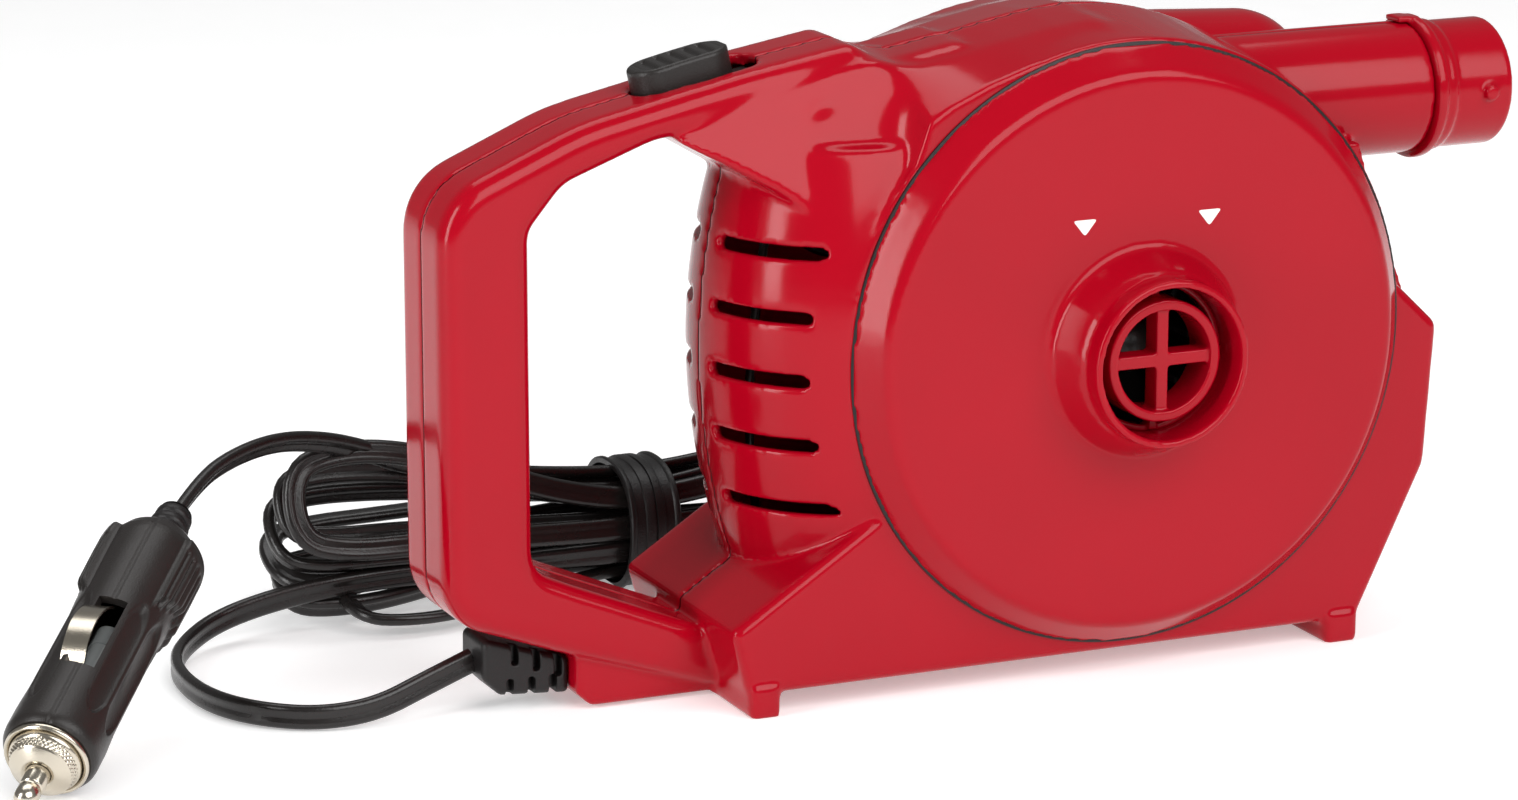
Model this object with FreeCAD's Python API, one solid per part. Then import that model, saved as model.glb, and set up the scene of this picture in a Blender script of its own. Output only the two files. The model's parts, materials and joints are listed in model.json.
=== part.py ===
import FreeCAD
import Part
import math
import os
from FreeCAD import Vector

# Electric air mattress pump, millimetres.
# +Z up, +X towards the inflate nozzle, -Y towards the deflate port.
# Origin on the floor, under the middle of the pump's box.

# Overall
LENGTH = 260.0
HALF_LENGTH = LENGTH / 2
WALL = 2.4
EPS = 0.01

# Volute, motor and port, all on one axis along Y
AXIS_X = 23.3
AXIS_Z = 74.4
BODY_DEPTH = 31.0
BODY_R_MID = 71.0
BODY_R_FRONT = 67.9
COVER_R_BASE = 67.2
COVER_BASE_Y = -31.5
COVER_R_FACE = 61.5
COVER_FACE_Y = -38.5
COVER_EDGE_R = 3.0
COVER_SPIGOT_R = 60.0
PORT_COLLAR_R = 23.4
PORT_COLLAR_END_R = 19.5
PORT_RIM_R = 18.7
PORT_RIM_WALL = 1.8
PORT_FACE_Y = -52.0
PORT_RIM_ROUND = 0.7
PORT_COLLAR_DEPTH = 8.0
PORT_BORE_R = PORT_RIM_R - PORT_RIM_WALL
GRILLE_R = 13.5
GRILLE_WALL = 2.2
GRILLE_FACE_Y = -47.8
GRILLE_BACK_Y = -40.8
GRILLE_BAR = 2.9

# Handle
HANDLE_HALF_Y = 14.0
HANDLE_EDGE_R = 4.5
HANDLE_ROOT_X = -60.0
WINDOW_EDGE_R = 3.2
WINDOW_BOX = (-114.0, 13.85, 128.0)

# Vented barrel between the handle and the volute
BARREL_X = -32.2
BARREL_Z = 75.0
BARREL_R = 34.0
BARREL_CURVE_R = 148.0
BARREL_LOW_Z = 16.0
BARREL_TOP_Z = 122.0
VENT_Z = (100.0, 86.2, 72.4, 58.0, 43.4)
VENT_HEIGHT = 2.6
VENT_FROM_Y = 5.0
VENT_TO_Y = 27.2

# Inflate nozzle
NOZZLE_Z = 120.2
NOZZLE_R = 14.6
DUCT_R = 15.1
NOZZLE_WALL = 2.2
COLLAR_X = 109.2
COLLAR_R = 16.5
COLLAR_LENGTH = 2.8
STEP_R = 15.2
STEP_END_X = 114.8
NOZZLE_ROOT_X = 102.0
BAYONET_X = 123.5
BAYONET_R = 1.8
BAYONET_OUT = 1.8
LUG = (3.6, 6.0, 1.4)

# Base
FOOT_HALF_Y = 31.9
FOOT_HEIGHT = 4.8

# Rear motor dome and air duct bulge
DOME_R = 25.0
DOME_REAR_Y = 52.0
BULGE_R = 20.0
BULGE_END_R = 17.0
BULGE_Y = 20.0
BULGE_END_X = 76.0

# Motor and impeller
MOTOR_R = 18.0
MOTOR_WALL = 1.4
MOTOR_FRONT_Y = 0.0
MOTOR_REAR_Y = 44.0
SHAFT_R = 1.6
SHAFT_FRONT_Y = -30.0
SHAFT_REAR_Y = 47.5
BUSH_R = 4.0
BUSH_GAP = 0.04
ARMATURE_R = 11.6
MAGNET_IN_R = 12.4
COMMUTATOR_R = 4.6
IMPELLER_R = 47.0
IMPELLER_BACK_Y = -10.0
IMPELLER_FRONT_Y = -30.0
IMPELLER_BLADES = 9
PLATE_FRONT_Y = -6.0
PLATE_BACK_Y = -3.6
SCROLL_R = 53.0

# Slide switch in the top bar of the handle
SWITCH_X = -70.0
SWITCH_Z = 135.7
SWITCH_SLOPE = 12.4
BUTTON_LENGTH = 23.0
BUTTON_WIDTH = 12.0
BUTTON_HEIGHT = 5.0
SWITCH_TRAVEL = 5.5
RECESS_GAP = 0.4
RECESS_DEPTH = 2.7
STEM_LENGTH = 6.0
STEM_WIDTH = 3.2

# Twin lead, about 2.8 by 5.6; its wide side sets the tube
CORD_D = 5.6
CORD_R = CORD_D / 2
CORD_EXIT = Vector(-119.5, 0, 11.3)
LEAD_ROUTE = [
    CORD_EXIT,
    Vector(-130.5, -0.9, 7.6),
    Vector(-142.5, -3.0, 3.9),
    Vector(-155.0, -1.8, 3.0),
    Vector(-165.5, 5.6, 3.1),
    Vector(-172.0, 17.5, 3.0),
    Vector(-174.0, 32.0, 3.1),
    Vector(-172.0, 47.5, 3.2),
    Vector(-165.5, 61.5, 3.6),
    Vector(-154.0, 73.5, 4.8),
    Vector(-139.5, 81.5, 7.0),
    Vector(-125.0, 85.5, 9.5),
]

# Hank behind the handle, tied round its middle
HANK_Y = 83.0
TIE_HALF_Y = 15.0
TIE_HALF_Z = 13.5
HANK_SECTIONS = [
    # x, half width in y, half height in z
    (-141.0, 9.0, 12.0),
    (-134.0, 17.0, 18.0),
    (-118.0, 21.5, 21.0),
    (-92.0, 20.0, 19.5),
    (-68.0, 16.5, 15.0),
    (-48.0, TIE_HALF_Y, TIE_HALF_Z),
    (-28.0, 16.5, 15.0),
    (-4.0, 19.5, 18.0),
    (22.0, 20.0, 19.0),
    (38.0, 16.5, 16.0),
    (46.0, 8.0, 10.0),
]
HANK_LOW_Z = 0.4
TIE_X = -48.0
TIE_WIDTH = 12.5
TIE_THICK = 1.1

# 12 volt plug: its nose ring's centre, and the way from nose to tail
PLUG_NOSE = Vector(-221.7, -23.5, 8.9)
PLUG_AXIS = Vector(0.575, 0.722, 0.386)
PLUG_R = 10.4
PLUG_LENGTH = 74.0
PLUG_RELIEF_LENGTH = 9.0
PLUG_RELIEF_R = 4.7
PLUG_RELIEF_RINGS = 3
TIP_R = 2.6
TIP_TRAVEL = 3.0
TIP_FLANGE_Z = 1.2
SPRING_R = 3.4
SPRING_WIRE_R = 0.45
SPRING_PITCH = 2.0
SPRING_LENGTH = 6.0
CONTACT_AT = 30.0
CONTACT_LENGTH = 19.0
CONTACT_WIDTH = 5.4
CONTACT_SWING = 4.0

Y_AXIS = Vector(0, 1, 0)
Z_AXIS = Vector(0, 0, 1)
X_AXIS = Vector(1, 0, 0)
TAIL_ROUTE_END = [
    Vector(-165.6, 46.0, 45.0),
    Vector(-155.2, 53.5, 47.6),
    Vector(-143.0, 60.5, 48.2),
    Vector(-130.5, 66.5, 45.6),
    Vector(-118.5, 72.0, 41.0),
    Vector(-107.0, 76.0, 35.5),
]

# Outlines in the XZ plane: x, z, corner radius
HANDLE_OUTLINE = [
    (-8.0, 141.0, 0), (-27.0, 137.6, 8), (-34.5, 142.2, 4), (-60.0, 137.8, 80),
    (-97.5, 129.6, 60), (-130.0, 115.6, 16), (-130.0, 23.6, 13), (-97.5, 11.6, 20),
    (-72.0, 3.5, 0), (-50.0, 3.5, 0), (-50.0, 10.0, 0), (-71.0, 16.4, 6),
    (-99.8, 28.4, 20), (-110.0, 33.0, 7), (-110.0, 107.5, 6), (-102.0, 117.0, 10),
    (-79.4, 125.4, 20), (-68.0, 124.6, 6), (-50.0, 114.0, 0), (-8.0, 114.0, 0),
]
BLOCK_OUTLINE = [
    (-71.2, 19.5, 1.5), (-67.3, FOOT_HEIGHT, 0), (83.0, FOOT_HEIGHT, 0), (99.8, 39.5, 6),
    (102.0, 71.8, 3), (87.5, 85.5, 0), (40.0, 85.5, 0), (-30.0, 46.0, 0),
]
FLANK_OUTLINE = [
    (50.0, 80.0, 0), (50.0, 112.0, 0), (88.0, 112.0, 0), (89.6, 106.0, 5),
    (101.0, 75.0, 0), (96.0, 70.0, 0),
]
FLANK_HALF_Y = 18.0
BOSS_OUTLINE = [
    (-99.5, 14.0, 0), (-99.5, 4.2, 2), (-96.0, 0.8, 2), (-66.0, 0.8, 0),
    (-60.0, 6.0, 0), (-60.0, 12.0, 0),
]
BOSS_HALF_Y = 11.0
# Shoulder between handle and volute, in sections across x: lowest z, z of the ridge on the
# middle plane, y and z of the crease beside the bar, y and z of the outer edge
SHOULDER_SECTIONS = [
    (-76.0, 124.2, 134.0, 13.9, 124.9, 14.6, 124.6),
    (-66.0, 118.6, 136.4, 14.6, 128.1, 18.3, 119.2),
    (-56.0, 112.8, 138.6, 15.2, 132.1, 22.1, 113.4),
    (-42.0, 103.6, 140.4, 15.6, 136.9, 27.4, 104.2),
    (-34.5, 98.6, 141.2, 16.0, 138.7, 30.3, 99.4),
    (-31.0, 98.6, 140.6, 16.0, 138.9, BODY_DEPTH, 107.5),
    (-28.0, 98.6, 139.8, 16.0, 138.2, BODY_DEPTH, 118.5),
    (-25.2, 98.6, 139.0, 16.0, 137.4, BODY_DEPTH, 127.3),
    (-19.9, 98.6, 138.6, 16.0, 137.2, BODY_DEPTH, 130.8),
    (-10.6, 98.6, 140.2, 16.0, 138.8, BODY_DEPTH, 134.9),
    (0.0, 98.6, 142.4, 16.0, 141.2, BODY_DEPTH, 138.4),
    (12.0, 98.6, 144.6, 16.0, 143.4, BODY_DEPTH, 140.6),
    (22.0, 98.6, 145.6, 16.0, 144.6, BODY_DEPTH, 141.6),
    (32.0, 98.6, 143.0, 16.0, 142.2, BODY_DEPTH, 139.4),
    (44.0, 98.6, 135.4, 16.0, 134.8, BODY_DEPTH, 132.4),
    (56.0, 98.6, 131.0, 16.0, 129.0, BODY_DEPTH, 123.0),
]
# Hollow under the shoulder: outline in the XZ plane and depth
SHOULDER_HOLLOWS = [
    ([(-59.0, 118.2), (-34.0, 101.4), (53.0, 101.4), (53.0, 128.0), (43.0, 132.6), (33.0, 139.8),
      (22.0, 142.8), (0.0, 139.6), (-18.0, 135.6), (-30.0, 136.4), (-59.0, 132.8)], 12.0),
    ([(-22.0, 101.0), (53.0, 101.0), (53.0, 120.0), (43.0, 129.6), (33.0, 136.0), (22.0, 138.8),
      (0.0, 135.6), (-10.6, 132.0), (-18.0, 128.0), (-22.0, 124.0)], 28.4),
]
FEET = [(-67.3, -60.0, 10.0), (74.5, 83.0, 12.0)]
# Screws that hold the two shells together: x, z, depth of the shell there
CASE_SCREWS = [
    (-120.0, 72.0, HANDLE_HALF_Y), (-117.0, 27.5, HANDLE_HALF_Y), (-118.0, 112.5, HANDLE_HALF_Y),
    (-40.0, 22.0, BODY_DEPTH), (84.0, 22.0, BODY_DEPTH), (94.0, 62.0, BODY_DEPTH),
    (-44.0, 128.0, HANDLE_HALF_Y + 5),
]
SCREW_R = 1.4
SCREW_HEAD_R = 2.8
SCREW_HEAD_Y = 9.0
BOSS_R = 3.7
POST_FROM_AXIS = 49.4
POST_DEGREES = (40, 140, 220, 320)
POST_R = 3.2
PLATE_SCREW_DEPTH = 6.0


def rounded_wire(corners, y=0.0):
    """A closed wire in an XZ plane, with each corner rounded by its own radius."""
    points = [Vector(x, y, z) for x, z, _ in corners]
    edges = []
    last = None
    first = None
    for i, point in enumerate(points):
        radius = corners[i][2]
        before = (point - points[i - 1]).normalize()
        after = (points[(i + 1) % len(points)] - point).normalize()
        half_turn = before.getAngle(after) / 2
        if radius == 0 or half_turn < 0.01:
            start = end = point
        else:
            cut = radius * math.tan(half_turn)
            start = point - before * cut
            end = point + after * cut
            middle = point + (after - before).normalize() * radius * (1 / math.cos(half_turn) - 1)
        if last is None:
            first = start
        else:
            edges.append(Part.makeLine(last, start))
        if start != end:
            edges.append(Part.Arc(start, middle, end).toShape())
        last = end
    edges.append(Part.makeLine(last, first))
    return Part.Wire(edges)


def prism(corners, depth, inset=0.0):
    """A block from the middle plane to y = -depth, drawn in by inset on its sides and front."""
    face = Part.Face(rounded_wire(corners))
    if inset:
        face = Part.Face(face.makeOffset2D(-inset).OuterWire)
    return face.extrude(Vector(0, inset - depth, 0))


def edges_at_y(shape, y):
    """The edges that lie wholly in the plane at y."""
    found = []
    for edge in shape.Edges:
        box = edge.BoundBox
        if abs(box.YMin - y) < EPS and abs(box.YMax - y) < EPS:
            found.append(edge)
    return found


def half_space(side):
    """A large box on the front (-1) or rear (+1) side of the middle plane."""
    y = 0 if side > 0 else -200
    return Part.makeBox(600, 200, 400, Vector(-300, y, -50))


def cylinder(radius, start, end):
    """A cylinder between two points."""
    along = end - start
    return Part.makeCylinder(radius, along.Length, start, along)


def tube(outer, inner, start, end):
    return cylinder(outer, start, end).cut(cylinder(inner, start, end))


def on_axis(y):
    """A point on the motor's axis."""
    return Vector(AXIS_X, y, AXIS_Z)


def around_axis(radius, degrees, y):
    angle = math.radians(degrees)
    return Vector(AXIS_X + radius * math.cos(angle), y, AXIS_Z + radius * math.sin(angle))


def mirror(shape):
    return shape.mirror(Vector(0, 0, 0), Y_AXIS)


def fused(shapes):
    whole = shapes[0].multiFuse(shapes[1:]) if len(shapes) > 1 else shapes[0]
    return whole.removeSplitter()


def save(node, shape):
    """Writes one node; a shape of several solids stays a group."""
    if shape.ShapeType == "Compound" and len(shape.Solids) == 1:
        shape = shape.Solids[0]
    if not shape.isValid():
        print("invalid", node)
    shape.exportStep("parts/%s.step" % node)
    print("%-24s solids %2d  volume %9.1f" % (node, len(shape.Solids), shape.Volume))
    return shape


# ---------------------------------------------------------------- casing

def round_window(box):
    """Whether an edge of the handle's face borders the hand opening."""
    return box.XMin > WINDOW_BOX[0] and box.ZMin > WINDOW_BOX[1] and box.ZMax < WINDOW_BOX[2]


def handle_band(inset):
    band = prism(HANDLE_OUTLINE, HANDLE_HALF_Y, inset)
    for inside, radius in ((False, HANDLE_EDGE_R), (True, WINDOW_EDGE_R)):
        rim = [e for e in edges_at_y(band, inset - HANDLE_HALF_Y)
               if e.BoundBox.XMax < HANDLE_ROOT_X and round_window(e.BoundBox) == inside]
        band = band.makeFillet(radius - inset, rim)
    return band


def barrel(inset):
    radius = BARREL_R - inset

    def radius_at(z):
        return radius - BARREL_CURVE_R + math.sqrt(BARREL_CURVE_R ** 2 - (z - BARREL_Z) ** 2)

    low = BARREL_LOW_Z + inset
    top = BARREL_TOP_Z - inset
    axis_low = Vector(BARREL_X, 0, low)
    axis_top = Vector(BARREL_X, 0, top)
    side_low = Vector(BARREL_X + radius_at(low), 0, low)
    side_mid = Vector(BARREL_X + radius, 0, BARREL_Z)
    side_top = Vector(BARREL_X + radius_at(top), 0, top)
    profile = Part.Wire([
        Part.makeLine(axis_low, side_low),
        Part.Arc(side_low, side_mid, side_top).toShape(),
        Part.makeLine(side_top, axis_top),
        Part.makeLine(axis_top, axis_low),
    ])
    whole = Part.Face(profile).revolve(axis_low, Z_AXIS, 360)
    return Part.makeSolid(whole).common(half_space(-1))


def volute(inset):
    depth = BODY_DEPTH - inset
    return Part.makeCone(BODY_R_MID - inset, BODY_R_FRONT - inset, depth, on_axis(0), Vector(0, -1, 0))


def shoulder(inset):
    """The surface that joins the bar to the volute, or the hollow under it."""
    if inset:
        return fused([prism([(x, z, 0) for x, z in outline], depth) for outline, depth in SHOULDER_HOLLOWS])
    rings = []
    for x, low, ridge, crease_y, crease_z, edge_y, edge_z in SHOULDER_SECTIONS:
        corners = [(0, low), (0, ridge), (-crease_y, crease_z), (-edge_y, edge_z), (-edge_y, low)]
        points = [Vector(x, y, z) for y, z in corners]
        rings.append(Part.makePolygon(points + points[:1]))
    return Part.makeLoft(rings, True, True)


def block(inset):
    body = prism(BLOCK_OUTLINE, BODY_DEPTH, inset)
    if inset:
        return body
    return body.makeFillet(2.2, edges_at_y(body, -BODY_DEPTH))


def feet():
    made = []
    for x_from, x_to, y_in in FEET:
        corner = Vector(x_from, -FOOT_HALF_Y, 0)
        foot = Part.makeBox(x_to - x_from, FOOT_HALF_Y - y_in, FOOT_HEIGHT + 2, corner)
        upright = [e for e in foot.Edges if abs(e.BoundBox.ZLength - FOOT_HEIGHT - 2) < EPS]
        made.append(foot.makeFillet(1.8, upright))
    return made


def duct(inset):
    radius = DUCT_R - inset
    end = COLLAR_X if not inset else COLLAR_X + 1
    return cylinder(radius, Vector(AXIS_X, 0, NOZZLE_Z), Vector(end, 0, NOZZLE_Z)).common(half_space(-1))


def front_half(inset):
    """The pump's front half as one solid, or its hollow when drawn in by the wall."""
    pieces = [
        handle_band(inset), barrel(inset), volute(inset), shoulder(inset), block(inset),
        prism(FLANK_OUTLINE, FLANK_HALF_Y, inset), prism(BOSS_OUTLINE, BOSS_HALF_Y, inset), duct(inset),
    ]
    if not inset:
        pieces += feet()
    return fused(pieces)


def vents():
    """The cutters for the barrel's slots on the front half."""
    cutters = []
    for z in VENT_Z:
        low = z - VENT_HEIGHT / 2
        size = VENT_TO_Y - VENT_FROM_Y
        cutters.append(Part.makeBox(45, size, VENT_HEIGHT, Vector(-82, -VENT_TO_Y, low)))
    return cutters


def switch_frame():
    """Local x along the top bar, local z out of its top face."""
    turn = FreeCAD.Rotation(Y_AXIS, -SWITCH_SLOPE)
    return FreeCAD.Placement(Vector(SWITCH_X, 0, SWITCH_Z), turn)


def capsule(length, width, low, high):
    """An upright block with round ends, along local x."""
    half = length / 2 - width / 2
    body = Part.makeBox(2 * half, width, high - low, Vector(-half, -width / 2, low))
    ends = [cylinder(width / 2, Vector(x, 0, low), Vector(x, 0, high)) for x in (-half, half)]
    return fused([body] + ends)


def screw_bosses(side):
    """Bosses for the case screws on one side, and the cutters for their holes."""
    bosses = []
    holes = []
    for x, z, depth in CASE_SCREWS:
        outer = side * (depth - 0.6)
        bosses.append(cylinder(BOSS_R, Vector(x, 0, z), Vector(x, outer, z)))
        holes.append(cylinder(SCREW_R, Vector(x, 0, z), Vector(x, side * SCREW_HEAD_Y, z)))
        if side > 0:
            head = Vector(x, SCREW_HEAD_Y - 0.1, z)
            holes.append(cylinder(SCREW_HEAD_R + 0.2, head, Vector(x, depth + 1, z)))
    return bosses, holes


def switch_cutters():
    """The opening in the top bar that the button slides in."""
    recess_length = BUTTON_LENGTH + SWITCH_TRAVEL + 2 * RECESS_GAP
    recess = capsule(recess_length, BUTTON_WIDTH + 2 * RECESS_GAP, -RECESS_DEPTH, 12)
    recess.translate(Vector(SWITCH_TRAVEL / 2, 0, 0))
    return [in_switch_frame(recess)]


def shells():
    outer = front_half(0)
    inner = front_half(WALL)
    bosses, holes = screw_bosses(-1)
    front = outer.cut(inner).fuse(bosses).cut(holes + vents() + switch_cutters())
    port = cylinder(COVER_SPIGOT_R + 0.2, on_axis(-BODY_DEPTH - 5), on_axis(-BODY_DEPTH + WALL + 0.5))
    seat = cylinder(COVER_R_BASE + 0.3, on_axis(-BODY_DEPTH - 8), on_axis(-BODY_DEPTH))
    neck = relief_neck(0.1)
    spigot = cylinder(NOZZLE_R - NOZZLE_WALL, Vector(AXIS_X + 40, 0, NOZZLE_Z), Vector(140, 0, NOZZLE_Z))
    front = front.cut([port, seat, neck, spigot])

    bosses, holes = screw_bosses(1)
    rear_outer = fused([mirror(outer), dome(0), bulge(0)])
    rear_inner = fused([mirror(inner), dome(WALL), bulge(WALL)])
    posts, post_holes = plate_posts()
    rear = rear_outer.cut(rear_inner).fuse(bosses + posts)
    rear = rear.cut(holes + post_holes + [mirror(v) for v in vents()] + switch_cutters() + [neck, spigot])
    rear = rear.cut(dome_vents())
    return main_solid(front), main_solid(rear)


def main_solid(shape):
    """The largest solid, without crumbs that the cuts leave."""
    return max(shape.Solids, key=lambda s: s.Volume)


def dome(inset):
    """Round housing over the rear of the motor."""
    rear = DOME_REAR_Y - inset
    body = cylinder(DOME_R - inset, on_axis(0), on_axis(rear))
    if inset:
        return body
    return body.makeFillet(6, edges_at_y(body, rear))


def dome_vents():
    cutters = []
    for k in range(6):
        x = AXIS_X - 12.5 + 5 * k
        half = 16 - abs(x - AXIS_X) * 0.5
        cutters.append(Part.makeBox(1.8, 8, 2 * half, Vector(x - 0.9, DOME_REAR_Y - 4, AXIS_Z - half)))
    return cutters


def bulge(inset):
    """Round housing over the air duct behind the nozzle, narrower towards its end."""
    start = Vector(AXIS_X, BULGE_Y, NOZZLE_Z)
    end = Vector(BULGE_END_X, BULGE_Y, NOZZLE_Z)
    start_r = BULGE_R - inset
    end_r = BULGE_END_R - inset
    body = Part.makeCone(start_r, end_r, (end - start).Length, start, X_AXIS)
    body = fused([body, Part.makeSphere(end_r, end), Part.makeSphere(start_r, start)])
    return body.common(half_space(1))


def plate_posts():
    """Posts in the rear shell that carry the back plate, and the cutters for their holes."""
    posts = []
    holes = []
    for degrees in POST_DEGREES:
        foot = around_axis(POST_FROM_AXIS, degrees, BODY_DEPTH - 0.6)
        top = around_axis(POST_FROM_AXIS, degrees, PLATE_BACK_Y)
        posts.append(cylinder(POST_R, foot, top))
        holes.append(cylinder(SCREW_R, top, around_axis(POST_FROM_AXIS, degrees, PLATE_SCREW_DEPTH)))
    return posts, holes


def relief_neck(gap):
    """The neck of the strain relief where it passes through the cord boss."""
    return Part.makeBox(10, 8 + 2 * gap, 5 + 2 * gap, Vector(-101, -4 - gap, 5.2 - gap))


def volute_cover():
    depth = COVER_BASE_Y - COVER_FACE_Y
    outer = Part.makeCone(COVER_R_BASE, COVER_R_FACE, depth, on_axis(COVER_BASE_Y), Vector(0, -1, 0))
    outer = outer.makeFillet(COVER_EDGE_R, edges_at_y(outer, COVER_FACE_Y))
    hollow = cylinder(COVER_SPIGOT_R - WALL, on_axis(COVER_BASE_Y), on_axis(COVER_FACE_Y + WALL))
    spigot = tube(COVER_SPIGOT_R, COVER_SPIGOT_R - WALL, on_axis(COVER_BASE_Y - 1), on_axis(COVER_BASE_Y + 4))
    rim = cylinder(PORT_RIM_R, on_axis(COVER_FACE_Y + 1), on_axis(PORT_FACE_Y))
    rim = rim.makeFillet(PORT_RIM_ROUND, edges_at_y(rim, PORT_FACE_Y))
    flare = Part.makeCone(PORT_COLLAR_R, PORT_COLLAR_END_R, PORT_COLLAR_DEPTH,
                          on_axis(COVER_FACE_Y), Vector(0, -1, 0))
    bore = cylinder(PORT_BORE_R, on_axis(PORT_FACE_Y - 1), on_axis(-BODY_DEPTH + 1))
    return fused([outer.cut(hollow), spigot, rim, flare]).cut(bore)


def port_grille():
    ring = tube(GRILLE_R, GRILLE_R - GRILLE_WALL, on_axis(GRILLE_FACE_Y), on_axis(GRILLE_BACK_Y))
    seat = tube(PORT_BORE_R - 0.02, PORT_BORE_R - 1.4, on_axis(GRILLE_BACK_Y - 1), on_axis(COVER_FACE_Y + 1))
    depth = GRILLE_BACK_Y - GRILLE_FACE_Y - 1.5
    half = GRILLE_R - 0.5
    upright = Part.makeBox(GRILLE_BAR, depth, 2 * half,
                           Vector(AXIS_X - GRILLE_BAR / 2, GRILLE_FACE_Y + 1.2, AXIS_Z - half))
    level = Part.makeBox(2 * half, depth, GRILLE_BAR,
                         Vector(AXIS_X - half, GRILLE_FACE_Y + 1.2, AXIS_Z - GRILLE_BAR / 2))
    reach = PORT_BORE_R - 0.6
    spokes = []
    for degrees in (0, 90, 180, 270):
        corner = Vector(AXIS_X + GRILLE_R - 1.2, GRILLE_BACK_Y - 2, AXIS_Z - 1)
        spoke = Part.makeBox(reach - GRILLE_R + 1.2, 3.0, 2.0, corner)
        spoke.rotate(on_axis(0), Y_AXIS, degrees)
        spokes.append(spoke)
    web = tube(GRILLE_R, GRILLE_R - GRILLE_WALL, on_axis(GRILLE_BACK_Y - 1), on_axis(COVER_FACE_Y + 1))
    return fused([ring, seat, upright, level, web] + spokes)


def cover_seal():
    """Flat gasket between the cover and the front shell."""
    return tube(COVER_R_BASE - 0.4, COVER_SPIGOT_R + 0.3, on_axis(COVER_BASE_Y), on_axis(-BODY_DEPTH))


def nozzle():
    start = Vector(COLLAR_X, 0, NOZZLE_Z)
    end = Vector(HALF_LENGTH, 0, NOZZLE_Z)
    body = cylinder(NOZZLE_R, start, end)
    body = body.makeChamfer(0.8, [e for e in body.Edges if abs(e.BoundBox.XMin - HALF_LENGTH) < EPS])
    collar_end = Vector(COLLAR_X + COLLAR_LENGTH, 0, NOZZLE_Z)
    collar = cylinder(COLLAR_R, start, collar_end)
    rims = [e for e in collar.Edges if abs(e.BoundBox.XLength) < EPS]
    collar = collar.makeFillet(0.7, rims)
    step = cylinder(STEP_R, start, Vector(STEP_END_X, 0, NOZZLE_Z))
    spigot = cylinder(NOZZLE_R - NOZZLE_WALL - 0.02, Vector(COLLAR_X - 10, 0, NOZZLE_Z), start)
    bore = cylinder(NOZZLE_R - NOZZLE_WALL - 1.6, Vector(COLLAR_X - 11, 0, NOZZLE_Z), end + X_AXIS)
    length, width, height = LUG
    lug = Part.makeBox(length, width, height, Vector(COLLAR_X - length + 0.4, -width / 2, NOZZLE_Z + DUCT_R + 0.05))
    pins = []
    for side in (-1, 1):
        tip = Vector(BAYONET_X, side * (NOZZLE_R + BAYONET_OUT), NOZZLE_Z)
        pin = cylinder(BAYONET_R, Vector(BAYONET_X, side * (NOZZLE_R - 1), NOZZLE_Z), tip)
        pins.append(pin)
    return fused([body, collar, step, spigot, lug] + pins).cut(bore)


# ---------------------------------------------------------------- blower and motor

def impeller():
    back = cylinder(IMPELLER_R, on_axis(IMPELLER_BACK_Y), on_axis(IMPELLER_BACK_Y - 1.6))
    hub = cylinder(7.0, on_axis(IMPELLER_BACK_Y), on_axis(-27.0))
    nose = Part.makeSphere(7.0, on_axis(-27.0))
    blades = []
    for k in range(IMPELLER_BLADES):
        turn = 360 * k / IMPELLER_BLADES
        inner = around_axis(15, turn, 0)
        middle = around_axis(31, turn + 14, 0)
        outer = around_axis(IMPELLER_R - 0.5, turn + 38, 0)
        path = Part.Arc(inner, middle, outer).toShape()
        strip = path.extrude(Vector(0, IMPELLER_FRONT_Y - IMPELLER_BACK_Y, 0))
        strip.translate(Vector(0, IMPELLER_BACK_Y, 0))
        blades.append(strip.makeOffsetShape(1.2, 0.01, fill=True))
    return fused([back, hub, nose] + blades).cut(cylinder(SHAFT_R, on_axis(0), on_axis(SHAFT_FRONT_Y)))


def back_plate():
    plate = cylinder(57.0, on_axis(PLATE_BACK_Y), on_axis(PLATE_FRONT_Y))
    wall = tube(SCROLL_R + 1.6, SCROLL_R, on_axis(PLATE_BACK_Y), on_axis(-BODY_DEPTH + 4.6))
    mouth = Part.makeBox(70, 30, 30, Vector(AXIS_X + 4, PLATE_FRONT_Y - 30, AXIS_Z + 24))
    holes = [cylinder(5.6, on_axis(5), on_axis(-12))]
    for degrees in (0, 180):
        holes.append(cylinder(1.6, around_axis(12, degrees, 5), around_axis(12, degrees, -12)))
    for degrees in POST_DEGREES:
        start = around_axis(POST_FROM_AXIS, degrees, PLATE_FRONT_Y - 1)
        holes.append(cylinder(SCREW_R, start, around_axis(POST_FROM_AXIS, degrees, 0)))
    return fused([plate, wall.cut(mouth)]).cut(holes)


def motor_can():
    can = cylinder(MOTOR_R, on_axis(MOTOR_FRONT_Y - 0.6), on_axis(MOTOR_REAR_Y - 4))
    bore = cylinder(MOTOR_R - MOTOR_WALL, on_axis(MOTOR_FRONT_Y + 1.2), on_axis(MOTOR_REAR_Y))
    boss = cylinder(5.4, on_axis(MOTOR_FRONT_Y), on_axis(PLATE_BACK_Y - 1.6))
    seat = cylinder(BUSH_R, on_axis(6), on_axis(-8))
    holes = [cylinder(1.3, around_axis(12, d, 4), around_axis(12, d, -4)) for d in (0, 180)]
    return fused([can, boss]).cut([bore, seat] + holes)


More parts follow.
